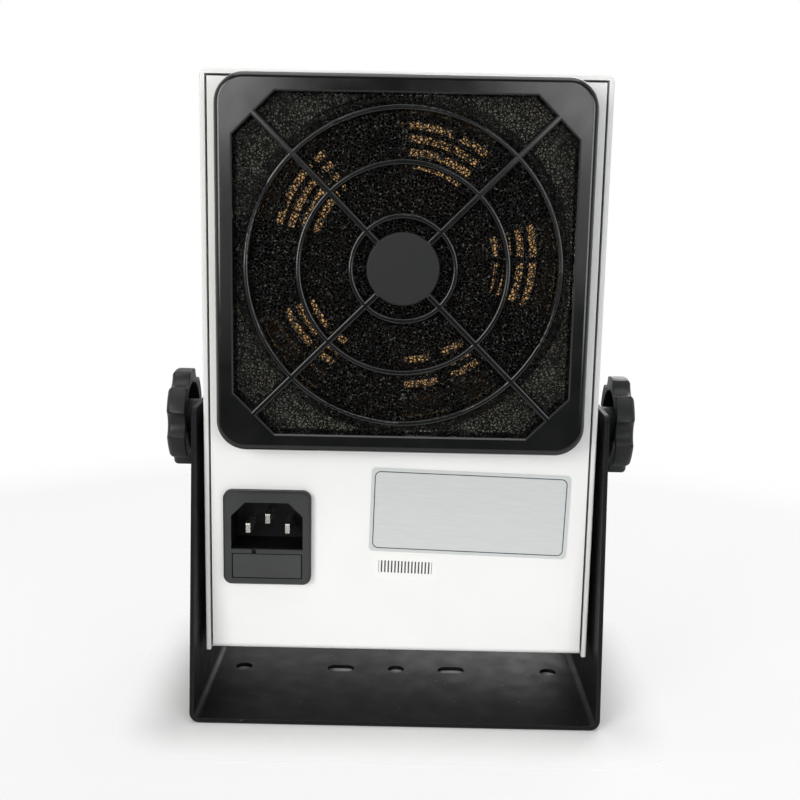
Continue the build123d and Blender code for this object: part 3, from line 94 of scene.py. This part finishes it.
def finish(
    name, dark, light, gloss, grain, drift=35.0, metallic=0.0, ior=1.5, specular=0.5
):
    """Paint, moulded plastic or plating: colour that drifts, gloss that varies and a fine grain.

    gloss is the roughness from its shiniest to its dullest, grain the width and depth in mm,
    and drift the size in mm of the patches in the colour. The gloss varies four times finer."""
    material, tree, shader, place = surface(name)
    cloud = add(
        tree, "ShaderNodeTexNoise", {"Vector": place}, {"Scale": per_mm(drift), "Detail": 3.0}
    )
    spread = add(tree, "ShaderNodeMapRange", {"Value": cloud.outputs[0]}, NOISE_SPAN)
    tone = add(
        tree, "ShaderNodeMix", {0: spread.outputs[0]}, {6: lin(dark), 7: lin(light)},
        data_type="RGBA",
    )
    tree.links.new(tone.outputs[2], shader.inputs["Base Color"])
    rubbed = add(
        tree, "ShaderNodeTexNoise", {"Vector": place},
        {"Scale": per_mm(drift / 4), "Detail": 4.0},
    )
    dull = add(
        tree, "ShaderNodeMapRange", {"Value": rubbed.outputs[0]},
        {**NOISE_SPAN, "To Min": gloss[0], "To Max": gloss[1]},
    )
    tree.links.new(dull.outputs[0], shader.inputs["Roughness"])
    grain_width, grain_depth = grain
    pebble = add(
        tree, "ShaderNodeTexNoise", {"Vector": place},
        {"Scale": per_mm(grain_width), "Detail": 2.0},
    )
    relief = add(
        tree, "ShaderNodeBump", {"Height": pebble.outputs[0]}, {"Distance": grain_depth * MM}
    )
    tree.links.new(relief.outputs[0], shader.inputs["Normal"])
    shader.inputs["Metallic"].default_value = metallic
    if not metallic:
        shader.inputs["IOR"].default_value = ior
        shader.inputs["Specular IOR Level"].default_value = specular
    return material


def patch(tree, place, middle, half, turn=0.0):
    """The place measured from the middle of a box, and how far it lies outside, 0 inside it."""
    local = add(
        tree, "ShaderNodeMapping", {"Vector": place},
        {"Location": middle, "Rotation": (0, turn, 0)}, vector_type="TEXTURE",
    )
    apart = add(tree, "ShaderNodeVectorMath", {0: local.outputs[0]}, operation="ABSOLUTE")
    over = add(
        tree, "ShaderNodeVectorMath", {0: apart.outputs[0]}, {1: half}, operation="SUBTRACT"
    )
    beyond = add(tree, "ShaderNodeVectorMath", {0: over.outputs[0]}, operation="MAXIMUM")
    away = add(tree, "ShaderNodeVectorMath", {0: beyond.outputs[0]}, operation="LENGTH")
    return local.outputs[0], away.outputs["Value"]


def paint_over(material, mask, colour):
    """Lays one more colour over a material's own, where the mask is 1."""
    tree = material.node_tree
    socket = tree.nodes["Principled BSDF"].inputs["Base Color"]
    under = socket.links[0].from_socket
    laid = add(
        tree, "ShaderNodeMix", {0: mask, 6: under}, {7: lin(colour)}, data_type="RGBA"
    )
    tree.links.new(laid.outputs[2], socket)


# Materials, each named for the real one and how its surface was made

# Powder coat on sheet steel: a bright soft white whose baked skin has a shallow orange peel
white_paint = finish("white powder coat", "#F0F0EE", "#F4F4F2", (0.36, 0.46), (0.9, 0.012))

# Satin powder coat on sheet steel: deep black, a dull sheen with a fine sandy grain
black_paint = finish(
    "black satin powder coat", "#090A0A", "#0F1010", (0.44, 0.58), (0.5, 0.02), specular=0.16
)

# Moulded ABS with a polished face: black with clear thin highlights along every bar
guard_abs = finish(
    "black polished ABS", "#0A0B0B", "#101111", (0.12, 0.20), (0.8, 0.002), ior=1.54
)

# Moulded nylon grip: near black with a faint green-grey cast and a fine spark-eroded grain
GRIP_DARK, GRIP_LIGHT = "#161A18", "#1E2220"
GRIP_GLOSS, GRIP_GRAIN = (0.40, 0.54), (0.6, 0.012)
knob_nylon = finish(
    "black grained nylon", GRIP_DARK, GRIP_LIGHT, GRIP_GLOSS, GRIP_GRAIN, specular=0.4
)

# Moulded polyamide of a mains inlet: dull dark grey
INLET_DARK, INLET_LIGHT = "#343635", "#3D3F3E"
INLET_GLOSS, INLET_GRAIN = (0.44, 0.56), (0.4, 0.012)
inlet_polyamide = finish(
    "dark grey polyamide", INLET_DARK, INLET_LIGHT, INLET_GLOSS, INLET_GRAIN, specular=0.4
)

# Painted die casting of the fan: black, slightly lumpy and dull
fan_casting = finish(
    "black painted die casting", "#101011", "#171718", (0.5, 0.62), (0.8, 0.02), specular=0.35
)

# Moulded glass-filled nylon of the fan wheel: black with a dry sheen
fan_nylon = finish(
    "black glass-filled nylon", "#0B0B0B", "#111111", (0.38, 0.5), (0.6, 0.01), specular=0.4
)

# Zinc plating on turned and stamped steel: pale bluish metal with cloudy reflections
zinc_steel = finish(
    "zinc plated steel", "#B4B6B5", "#CDCFCD", (0.25, 0.4), (0.3, 0.004), 6.0, 1.0
)

# Nickel plating on stamped brass contacts: warm dull silver
nickel_brass = finish(
    "nickel plated brass", "#CFCDC6", "#E2E0D9", (0.22, 0.34), (0.3, 0.003), 5.0, 1.0
)

# Moulded polycarbonate insulator: ivory with a soft gloss
ivory_insulator = finish(
    "ivory moulded polycarbonate", "#D9D4C4", "#E6E2D4", (0.36, 0.46), (0.5, 0.008)
)

# Varnished copper on a steel core: brown and uneven with glossy runs, its turns drawn coarse
# enough to show
motor_winding = finish(
    "varnished copper winding", "#4E3822", "#8A6234", (0.25, 0.45), (0.5, 0.08), 2.0
)

# Pressed fibre washer: dull black with a felted face
pressed_fibre = finish(
    "black pressed fibre", "#131312", "#1D1C1B", (0.7, 0.82), (0.35, 0.02), 4.0, specular=0.25
)

# Resin potted case: dark grey with a slightly wavy cast face
potted_case = finish("grey potting resin", "#292A2C", "#35373A", (0.42, 0.58), (2.5, 0.05))

# Extruded silicone sleeve of the high-voltage lead: red with a waxy gloss
red_silicone = finish("red silicone sleeve", "#8A1814", "#A3241D", (0.34, 0.44), (0.6, 0.004))

# Extruded PVC sleeve of the mains and fan leads: black with a waxy gloss
black_pvc = finish("black PVC sleeve", "#131313", "#1C1C1C", (0.38, 0.48), (0.6, 0.004))

# Drawn nylon bristle: straw coloured, shiny along its length
brush_nylon = finish(
    "straw nylon bristle", "#8C7F62", "#B3A483", (0.3, 0.42), (0.4, 0.004), 1.0
)

# Moulded acrylic lens: deep green with a sharp wet gloss
green_acrylic = finish(
    "green moulded acrylic", "#1A6833", "#29833F", (0.06, 0.12), (1.5, 0.002), ior=1.49
)

# Drawn glass tube of a fuse: clear and sharply glossy, with polished metal caps added below
fuse_glass = finish(
    "clear glass tube", "#DDE2E0", "#EDF0EE", (0.03, 0.07), (2.0, 0.001), ior=1.52
)

use = {
    white_paint: ["chassis", "cover_wrap", "cover_screws"],
    black_paint: ["stand_bracket"],
    guard_abs: ["filter_cover", "filter_base", "outlet_grille"],
    knob_nylon: ["clamp_knob_right", "clamp_knob_left", "speed_knob", "cleaner_knob"],
    inlet_polyamide: ["fuse_drawer", "speed_switch"],
    fan_casting: ["fan_frame"],
    fan_nylon: ["fan_rotor"],
    zinc_steel: [
        "pivot_nuts", "clamp_washer_right", "clamp_washer_left", "clamp_screw_right",
        "clamp_screw_left", "filter_screws", "filter_nuts", "fan_bearings", "fan_shaft",
        "emitter_pins", "grille_screws", "cleaner_shaft", "switch_nut", "speed_shaft",
        "transformer_screws",
    ],
    nickel_brass: ["inlet_pins"],
    ivory_insulator: ["emitter_ring", "cleaner_arm"],
    motor_winding: ["fan_stator"],
    pressed_fibre: ["friction_washers"],
    potted_case: ["hv_transformer"],
    red_silicone: ["hv_lead"],
    black_pvc: ["supply_leads", "fan_lead"],
    green_acrylic: ["power_lamp"],
    fuse_glass: ["fuses"],
}


def dress(name, material):
    """Gives a CAD node its material."""
    mesh = nodes[name].data
    mesh.materials.clear()
    mesh.materials.append(material)


for material, names in use.items():
    for name in names:
        dress(name, material)


# Wear: the bracket's paint is rubbed thin along its edges, and carries a little dust

WORN_EDGE = 0.5 * MM
RUB_LENGTH = 3.0
DUST_SPACING = 6.0
tree, _, place = parts_of(black_paint)
rounded = add(tree, "ShaderNodeBevel", None, {"Radius": WORN_EDGE}, samples=4)
facing = add(tree, "ShaderNodeNewGeometry").outputs["Normal"]
aligned = add(
    tree, "ShaderNodeVectorMath", {0: rounded.outputs[0], 1: facing}, operation="DOT_PRODUCT"
)
edge = add(
    tree, "ShaderNodeMapRange", {"Value": aligned.outputs["Value"]},
    {"From Min": 0.985, "From Max": 0.90, "To Max": 0.5},
)
broken = add(
    tree, "ShaderNodeTexNoise", {"Vector": place},
    {"Scale": per_mm(RUB_LENGTH), "Detail": 5.0},
)
rubbed_edge = add(
    tree, "ShaderNodeMath", {0: edge.outputs[0], 1: broken.outputs[0]}, operation="MULTIPLY"
)
paint_over(black_paint, rubbed_edge.outputs[0], "#404242")
specks = add(
    tree, "ShaderNodeTexVoronoi", {"Vector": place}, {"Scale": per_mm(DUST_SPACING)}
)
dust = add(
    tree, "ShaderNodeMapRange", {"Value": specks.outputs["Distance"]},
    {"From Min": 0.035, "From Max": 0.06, "To Min": 0.35, "To Max": 0.0},
)
paint_over(black_paint, dust.outputs[0], "#8A8A86")


# Filter cover: the flat hub disc is etched in the mould, so it is duller and greyer than the
# bars

HUB_DISC = 12.4 * MM
ETCH_DULLING = 0.38
ETCH_SHEEN_LOSS = 0.16
POLISHED_SHEEN = 0.5
low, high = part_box("filter_cover")
tree, shader, place = parts_of(guard_abs)
_, from_axis = patch(tree, place, (low + high) / 2, (0, 1, 0))
etched = add(
    tree, "ShaderNodeMath", {0: from_axis}, {1: HUB_DISC}, operation="LESS_THAN"
).outputs[0]
paint_over(guard_abs, etched, "#141615")
polish = shader.inputs["Roughness"].links[0].from_socket
dulled = add(
    tree, "ShaderNodeMath", {0: etched, 2: polish}, {1: ETCH_DULLING}, operation="MULTIPLY_ADD"
)
tree.links.new(dulled.outputs[0], shader.inputs["Roughness"])
subdued = add(
    tree, "ShaderNodeMath", {0: etched}, {1: -ETCH_SHEEN_LOSS, 2: POLISHED_SHEEN},
    operation="MULTIPLY_ADD",
)
tree.links.new(subdued.outputs[0], shader.inputs["Specular IOR Level"])


# Mains inlet: painted shade, the inside of the socket recess is coloured near black behind the
# grey face

SOCKET_HALF = (13.2 * MM, 9.0 * MM, 9.2 * MM)
SOCKET_LIP = 1.2 * MM
low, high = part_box("inlet_pins")
face_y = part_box("inlet_body")[1].y
socket_middle = (
    (low.x + high.x) / 2, face_y - SOCKET_LIP - SOCKET_HALF[1], (low.z + high.z) / 2
)
socket_shaded_polyamide = finish(
    "grey polyamide, painted socket shade", INLET_DARK, INLET_LIGHT, INLET_GLOSS, INLET_GRAIN,
    specular=0.25,
)
tree, _, place = parts_of(socket_shaded_polyamide)
_, outside = patch(tree, place, socket_middle, SOCKET_HALF)
# Painted shade: the walls inside the socket recess are coloured near black
painted_socket_shade = add(tree, "ShaderNodeMath", {0: outside}, {1: TOUCH}, operation="LESS_THAN")
paint_over(socket_shaded_polyamide, painted_socket_shade.outputs[0], "#060707")
dress("inlet_body", socket_shaded_polyamide)


# Speed knob: white paint wiped into the pointer groove

GROOVE_DEPTH = 0.3 * MM
GROOVE_HALF = (0.7 * MM, 0.65 * MM)
low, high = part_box("speed_knob")
knob_middle = (low + high) / 2
knob_radius = (high.x - low.x) / 2
pointer_nylon = finish(
    "black grained nylon, filled pointer", GRIP_DARK, GRIP_LIGHT, GRIP_GLOSS, GRIP_GRAIN
)
tree, _, place = parts_of(pointer_nylon)
groove_middle = (knob_middle.x, low.y + GROOVE_DEPTH, knob_middle.z + knob_radius / 2)
_, outside = patch(tree, place, groove_middle, (*GROOVE_HALF, knob_radius / 2))
in_groove = add(tree, "ShaderNodeMath", {0: outside}, {1: TOUCH}, operation="LESS_THAN")
paint_over(pointer_nylon, in_groove.outputs[0], "#E8E8E4")
dress("speed_knob", pointer_nylon)


# Fuses: bright metal caps at both ends of each glass tube

FUSE_CAP = 5.5 * MM
low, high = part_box("fuses")
tree, shader, place = parts_of(fuse_glass)
tube_half = ((high.x - low.x) / 2 - FUSE_CAP, 1.0, 1.0)
_, outside = patch(tree, place, (low + high) / 2, tube_half)
cap = add(
    tree, "ShaderNodeMath", {0: outside}, {1: TOUCH}, operation="GREATER_THAN"
).outputs[0]
clear = add(tree, "ShaderNodeMath", {1: cap}, {0: 1.0}, operation="SUBTRACT").outputs[0]
tree.links.new(cap, shader.inputs["Metallic"])
tree.links.new(clear, shader.inputs["Transmission Weight"])


# Labels: a silver foil plate with one printed border line, and a white film sticker with
# ruled bars

LABEL_TURN = math.radians(-1.5)
INK = "#34383A"
# Rolling lines are a few hundredths of a millimetre wide, drawn wider to show
ROLLED_LINE = 0.5
ROLLED_STRETCH = (0.08, 1, 1)
ROLLED_DEPTH = 0.003 * MM


def label(name, node, dark, light, rough, metallic):
    """A stuck-on label: a face with a faint rolled grain along its length."""
    material, tree, shader, place = surface(name)
    low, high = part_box(node)
    local, _ = patch(tree, place, (low + high) / 2, (0, 0, 0), LABEL_TURN)
    along = add(tree, "ShaderNodeMapping", {"Vector": local}, {"Scale": ROLLED_STRETCH})
    rolled = add(
        tree, "ShaderNodeTexNoise", {"Vector": along.outputs[0]},
        {"Scale": per_mm(ROLLED_LINE), "Detail": 2.0},
    )
    tone = add(
        tree, "ShaderNodeMix", {0: rolled.outputs[0]}, {6: lin(dark), 7: lin(light)},
        data_type="RGBA",
    )
    tree.links.new(tone.outputs[2], shader.inputs["Base Color"])
    relief = add(
        tree, "ShaderNodeBump", {"Height": rolled.outputs[0]}, {"Distance": ROLLED_DEPTH}
    )
    tree.links.new(relief.outputs[0], shader.inputs["Normal"])
    shader.inputs["Roughness"].default_value = rough
    shader.inputs["Metallic"].default_value = metallic
    dress(node, material)
    return material, tree, place, (low + high) / 2


# Rolled aluminium foil with a grey print coat: pale grey, only slightly metallic
BORDER_HALF = (31.7 * MM, 1.0, 11.9 * MM)
BORDER_ROUND = 2.0 * MM
BORDER_LINE = 0.17 * MM
plate_foil, tree, place, middle = label(
    "silver label foil", "rating_plate", "#C8CBCA", "#D6D9D8", 0.42, 0.1
)
_, outside = patch(tree, place, middle, BORDER_HALF, LABEL_TURN)
border = add(
    tree, "ShaderNodeMath", {0: outside}, {1: BORDER_ROUND, 2: BORDER_LINE},
    operation="COMPARE",
)
paint_over(plate_foil, border.outputs[0], INK)

# Calendered paper film: plain white and matt
BARS_HALF = (9.5 * MM, 1.0, 2.2 * MM)
BAR_PITCH_HALF = 0.6 * MM
BAR_HALF = 0.26 * MM
sticker_film, tree, place, middle = label(
    "white label film", "serial_sticker", "#F0F0EC", "#F5F5F2", 0.5, 0.0
)
local, outside = patch(tree, place, middle, BARS_HALF, LABEL_TURN)
across = add(tree, "ShaderNodeSeparateXYZ", {0: local}).outputs["X"]
ruled = add(
    tree, "ShaderNodeMath", {0: across}, {1: BAR_PITCH_HALF}, operation="PINGPONG"
)
bar = add(
    tree, "ShaderNodeMath", {0: ruled.outputs[0]}, {1: BAR_HALF}, operation="LESS_THAN"
)
within = add(tree, "ShaderNodeMath", {0: outside}, {1: TOUCH}, operation="LESS_THAN")
bars = add(
    tree, "ShaderNodeMath", {0: bar.outputs[0], 1: within.outputs[0]}, operation="MULTIPLY"
)
paint_over(sticker_film, bars.outputs[0], INK)


# Softened edges on the moulded grips and the pins' tips, in mm. The CAD meshes come with
# their sharp edges split, so they are joined first

EDGES = {
    "inlet_pins": 0.6, "fuse_drawer": 0.25, "clamp_knob_right": 0.4, "clamp_knob_left": 0.4,
    "speed_knob": 0.3, "cleaner_knob": 0.3,
}
for name, width in EDGES.items():
    weld = nodes[name].modifiers.new("joined", "WELD")
    weld.merge_threshold = 0.001 * MM
    bevel = nodes[name].modifiers.new("edge", "BEVEL")
    bevel.use_clamp_overlap = False
    bevel.width = width * MM
    bevel.segments = 3
    bevel.limit_method = "ANGLE"
    bevel.angle_limit = math.radians(35)
    bevel.harden_normals = True


def place_piece(name, build, material, body, node):
    """Makes a piece from a mesh in work, riding on a body in place of a CAD node."""
    mesh = bpy.data.meshes.new(name)
    build.to_mesh(mesh)
    build.free()
    mesh.materials.append(material)
    piece = bpy.data.objects.new(name, mesh)
    scene.collection.objects.link(piece)
    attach(piece, body)
    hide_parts(node)
    return piece


# Foam pad: an open-cell slab with an eight-sided outline and a rough cut skin

# Reticulated polyurethane foam: black struts round open pores that let light through, with
# painted glints, grey specks in the struts' colour standing in for highlights
PORE = 1.1
PAINTED_GLINT_SPACING = 0.5
STRUT_RISE = 0.4 * MM
low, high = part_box("filter_foam")
centre = (low + high) / 2
open_foam, tree, shader, place = surface("black reticulated foam")
cells = add(
    tree, "ShaderNodeTexVoronoi", {"Vector": place}, {"Scale": per_mm(PORE)},
    feature="DISTANCE_TO_EDGE",
)
strut = add(
    tree, "ShaderNodeMapRange", {"Value": cells.outputs["Distance"]},
    {"From Min": 0.09, "From Max": 0.15, "To Min": 1.0, "To Max": 0.0},
)
# Painted highlights: sparse grey specks laid into the struts' colour stand in for glints of
# light on them
painted_glint_cells = add(
    tree, "ShaderNodeTexVoronoi", {"Vector": place}, {"Scale": per_mm(PAINTED_GLINT_SPACING)}
)
painted_glint = add(
    tree, "ShaderNodeMapRange", {"Value": painted_glint_cells.outputs["Color"]},
    {"From Min": 0.72, "From Max": 0.95},
)
tone = add(
    tree, "ShaderNodeMix", {0: painted_glint.outputs[0]}, {6: lin("#040404"), 7: lin("#5A5C58")},
    data_type="RGBA",
)
tree.links.new(tone.outputs[2], shader.inputs["Base Color"])
shader.inputs["Roughness"].default_value = 0.6
shader.inputs["Specular IOR Level"].default_value = 0.12
ridge = add(tree, "ShaderNodeBump", {"Height": strut.outputs[0]}, {"Distance": STRUT_RISE})
tree.links.new(ridge.outputs[0], shader.inputs["Normal"])
# Where the fan draws air the foam has browned with dust, and it stays clean in the corners
AIR_STREAM = 51 * MM
STREAM_EDGE = 5 * MM
_, from_axis = patch(tree, place, centre, (0, 1, 0))
clean = add(
    tree, "ShaderNodeMapRange", {"Value": from_axis},
    {"From Min": AIR_STREAM, "From Max": AIR_STREAM + STREAM_EDGE},
)
tint = add(
    tree, "ShaderNodeMix", {0: clean.outputs[0]}, {6: lin("#DAC2A0"), 7: lin("#F0F0EA")},
    data_type="RGBA",
)
pore = add(tree, "ShaderNodeBsdfTransparent", {"Color": tint.outputs[2]})
foam_shader = add(
    tree, "ShaderNodeMixShader",
    {0: strut.outputs[0], 1: pore.outputs[0], 2: shader.outputs[0]},
)
tree.links.new(foam_shader.outputs[0], tree.nodes["Material Output"].inputs["Surface"])

FOAM_STEPS = 160
FOAM_SKIN = 0.5 * MM
SKIN_LUMP = 1.6
RIM_SINK = 1.4
AT_SIDE = 1e-5
half = (high.x - low.x) / 2
outline = [v.co for v in nodes["filter_foam"].data.vertices]
at_side = [p for p in outline if abs(abs(p.x - centre.x) - half) < AT_SIDE]
flat = max(abs(p.z - centre.z) for p in at_side)
build = bmesh.new()
sheets = []
for y, inward in ((high.y, -1), (low.y, 1)):
    grid = {}
    for i in range(FOAM_STEPS + 1):
        for j in range(FOAM_STEPS + 1):
            x = half * (2 * i / FOAM_STEPS - 1)
            z = half * (2 * j / FOAM_STEPS - 1)
            over = (abs(x) + abs(z) - half - flat) / 2
            if over > 0:
                x -= math.copysign(over, x)
                z -= math.copysign(over, z)
            rough = noise.noise(Vector((x, y, z)) * per_mm(SKIN_LUMP)) * 0.5 + 0.5
            at_rim = max(abs(x), abs(z), abs(x) + abs(z) - flat) > half - TOUCH
            depth = FOAM_SKIN * (RIM_SINK if at_rim else rough)
            grid[i, j] = build.verts.new((centre.x + x, y + inward * depth, centre.z + z))
    for i in range(FOAM_STEPS):
        for j in range(FOAM_STEPS):
            build.faces.new(
                (grid[i, j], grid[i + 1, j], grid[i + 1, j + 1], grid[i, j + 1])
            )
    sheets.append(grid)
rim = [(i, 0) for i in range(FOAM_STEPS)]
rim += [(FOAM_STEPS, j) for j in range(FOAM_STEPS)]
rim += [(i, FOAM_STEPS) for i in range(FOAM_STEPS, 0, -1)]
rim += [(0, j) for j in range(FOAM_STEPS, 0, -1)]
for a, b in zip(rim, rim[1:] + rim[:1]):
    build.faces.new((sheets[0][a], sheets[0][b], sheets[1][b], sheets[1][a]))
bmesh.ops.dissolve_degenerate(build, dist=TOUCH, edges=build.edges[:])
bmesh.ops.recalc_face_normals(build, faces=build.faces[:])
foam = place_piece("foam_pad", build, open_foam, "housing", "filter_foam")


# Emitter brush: a tuft of separate bristles that splay towards the tip

BRISTLE_ROWS = (9, 5)
BRISTLE_RADIUS = 0.16 * MM
BRISTLE_SIDES = 6
FOOT_SHARE = 0.75
STRAY = 0.05 * MM
BRISTLE_LENGTHS = (0.9, 0.99)
# Where along a bristle each ring of points lies, and its radius
BRISTLE_RINGS = ((0, BRISTLE_RADIUS), (0.6, BRISTLE_RADIUS), (1, BRISTLE_RADIUS * 0.5))
low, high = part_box("cleaner_brush")
width = Vector((high.x - low.x, high.y - low.y, 0)) - Vector((2, 2, 0)) * BRISTLE_RADIUS
build = bmesh.new()
for i in range(BRISTLE_ROWS[0]):
    for j in range(BRISTLE_ROWS[1]):
        share_x = i / (BRISTLE_ROWS[0] - 1) - 0.5
        share_y = j / (BRISTLE_ROWS[1] - 1) - 0.5
        tip = Vector((share_x * width.x, share_y * width.y, 0))
        foot = tip * FOOT_SHARE
        tip += Vector((random.uniform(-1, 1), random.uniform(-1, 1), 0)) * STRAY
        length = (high.z - low.z) * random.uniform(*BRISTLE_LENGTHS)
        rings = []
        for at, radius in BRISTLE_RINGS:
            spot = (low + high) / 2 + foot.lerp(tip, at * at)
            ring = []
            for k in range(BRISTLE_SIDES):
                angle = k * math.tau / BRISTLE_SIDES
                x = min(max(spot.x + radius * math.cos(angle), low.x), high.x)
                y = min(max(spot.y + radius * math.sin(angle), low.y), high.y)
                ring.append(build.verts.new((x, y, low.z + at * length)))
            rings.append(ring)
        for below, above in zip(rings, rings[1:]):
            for k in range(BRISTLE_SIDES):
                n = (k + 1) % BRISTLE_SIDES
                build.faces.new((below[k], below[n], above[n], above[k]))
        build.faces.new(rings[0][::-1])
        build.faces.new(rings[-1])
place_piece("brush_tuft", build, brush_nylon, "cleaner", "cleaner_brush")


# Floor: pale studio paper that fades into the white background

FLOOR_HALF = 0.6
FLOOR_DROP = 0.2 * MM
FADE_FROM, FADE_TO = 0.16, 0.42
SHADOW_EDGE = 28 * MM
PALED = 0.75
paper = finish(
    "pale studio paper", "#FBFBFA", "#FFFFFF", (0.7, 0.8), (3.0, 0.01), 300.0, specular=0.2
)
tree, shader, place = parts_of(paper)
reach = add(tree, "ShaderNodeVectorMath", {0: place}, operation="LENGTH")
fade = add(
    tree, "ShaderNodeMapRange", {"Value": reach.outputs["Value"]},
    {"From Min": FADE_FROM, "From Max": FADE_TO}, interpolation_type="SMOOTHSTEP",
)
# Paled for the camera all round the stand, and left in its full shadow under the stand
low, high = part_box("stand_bracket")
stand_half = ((high.x - low.x) / 2, (high.y - low.y) / 2, 1.0)
_, outside = patch(tree, place, (low + high) / 2, stand_half)
clear_of_stand = add(
    tree, "ShaderNodeMapRange", {"Value": outside},
    {"From Max": SHADOW_EDGE, "To Max": PALED}, interpolation_type="SMOOTHSTEP",
)
camera_ray = add(tree, "ShaderNodeLightPath").outputs["Is Camera Ray"]
paled = add(
    tree, "ShaderNodeMath", {0: camera_ray, 1: clear_of_stand.outputs[0]},
    operation="MULTIPLY",
)
share = add(
    tree, "ShaderNodeMath", {0: fade.outputs[0], 1: paled.outputs[0]}, operation="MAXIMUM"
)
beyond = add(tree, "ShaderNodeBsdfTransparent")
faded = add(
    tree, "ShaderNodeMixShader",
    {0: share.outputs[0], 1: shader.outputs[0], 2: beyond.outputs[0]},
)
tree.links.new(faded.outputs[0], tree.nodes["Material Output"].inputs["Surface"])
corners = [
    (x * FLOOR_HALF, y * FLOOR_HALF, 0) for x, y in ((-1, -1), (1, -1), (1, 1), (-1, 1))
]
floor_mesh = bpy.data.meshes.new("floor")
floor_mesh.from_pydata(corners, [], [(0, 1, 2, 3)])
floor_mesh.materials.append(paper)
floor = bpy.data.objects.new("floor", floor_mesh)
floor.location.z = -FLOOR_DROP
scene.collection.objects.link(floor)


# Light: soft boxes round the blower, the strongest high on the intake side

def soft_box(name, place, target, size, power, colour="#FFFFFF"):
    """A rectangular lamp that faces a point."""
    data = bpy.data.lights.new(name, "AREA")
    data.shape = "RECTANGLE"
    data.size, data.size_y = size
    data.energy = power
    data.color = lin(colour)[:3]
    lamp = bpy.data.objects.new(name, data)
    lamp.location = place
    facing = Vector(target) - Vector(place)
    lamp.rotation_euler = facing.to_track_quat("-Z", "Y").to_euler()
    lamp.visible_camera = False
    scene.collection.objects.link(lamp)


BLOWER = (0, 0, 0.12)
GUARD_LEFT, GUARD_RIGHT = (0.04, 0.04, 0.2), (-0.04, 0.04, 0.2)
soft_box("window_left", (0.62, 0.88, 0.38), BLOWER, (0.45, 0.62), 5.7, "#FFFDFA")
soft_box("window_right", (-0.58, 0.92, 0.22), BLOWER, (0.36, 0.46), 2.6, "#F8FBFF")
soft_box("top", (0, 0.1, 1.1), BLOWER, (0.9, 0.9), 3.8)
soft_box("front", (-0.4, -0.9, 0.6), BLOWER, (0.8, 0.6), 5)
soft_box("card_left", (0.33, 1.25, 0.42), GUARD_LEFT, (0.2, 0.9), 0.5)
soft_box("card_right", (-0.30, 1.25, 0.42), GUARD_RIGHT, (0.2, 0.75), 0.6)
soft_box("corner_left", (0.27, 1.20, 0.44), GUARD_LEFT, (0.2, 0.38), 0.85)
soft_box("corner_right", (-0.25, 1.20, 0.44), GUARD_RIGHT, (0.26, 0.38), 0.85)

# World: plain white where it is seen or looked at through glass, and softer as light. Polished
# faces mirror the same white behind and beside the blower, and a dim room on the intake side
DIM_ROOM = 0.08
SOFT_LIGHT = 0.2
world = bpy.data.worlds.new("studio")
scene.world = world
world.use_nodes = True
tree = world.node_tree
tree.nodes.clear()
path = add(tree, "ShaderNodeLightPath")
seen = add(
    tree, "ShaderNodeMath",
    {0: path.outputs["Is Camera Ray"], 1: path.outputs["Is Transmission Ray"]},
    operation="MAXIMUM",
)
heading = add(tree, "ShaderNodeTexCoord")
towards = add(tree, "ShaderNodeSeparateXYZ", {0: heading.outputs["Generated"]})
dimmed = add(
    tree, "ShaderNodeMapRange", {"Value": towards.outputs["Y"]},
    {"From Min": 0.0, "From Max": 0.7, "To Min": 1.0, "To Max": DIM_ROOM},
)
white = add(
    tree, "ShaderNodeBackground", None, {"Color": lin("#FFFFFF"), "Strength": 1.0}
)
mirrored = add(
    tree, "ShaderNodeBackground", {"Strength": dimmed.outputs[0]}, {"Color": lin("#FFFFFF")}
)
room = add(
    tree, "ShaderNodeBackground", None, {"Color": lin("#F2F4F6"), "Strength": SOFT_LIGHT}
)
lit = add(
    tree, "ShaderNodeMixShader",
    {0: path.outputs["Is Glossy Ray"], 1: room.outputs[0], 2: mirrored.outputs[0]},
)
sky = add(
    tree, "ShaderNodeMixShader", {0: seen.outputs[0], 1: lit.outputs[0], 2: white.outputs[0]}
)
add(tree, "ShaderNodeOutputWorld", {"Surface": sky.outputs[0]})


# Camera: fitted to the housing's seams, the stand's base openings and the filter frame

CAMERA_PLACE = (-0.00138, 0.41667, 0.18462)
PITCH, YAW, ROLL = 0.1808, 0.0042, 0.0189
camera_data = bpy.data.cameras.new("camera")
camera_data.sensor_width = 36.0
camera_data.lens = 50.96
camera_data.clip_start = 0.01
camera = bpy.data.objects.new("camera", camera_data)
scene.collection.objects.link(camera)
scene.camera = camera
ahead = Vector(
    (math.sin(YAW) * math.cos(PITCH), -math.cos(YAW) * math.cos(PITCH), -math.sin(PITCH))
)
right = Vector((-math.cos(YAW), -math.sin(YAW), 0))
up = right.cross(ahead)
right_rolled = right * math.cos(ROLL) + up * math.sin(ROLL)
up_rolled = up * math.cos(ROLL) - right * math.sin(ROLL)
turn = Matrix((right_rolled, up_rolled, -ahead)).transposed()
camera.matrix_world = Matrix.Translation(CAMERA_PLACE) @ turn.to_4x4()

scene.view_settings.view_transform = "Standard"
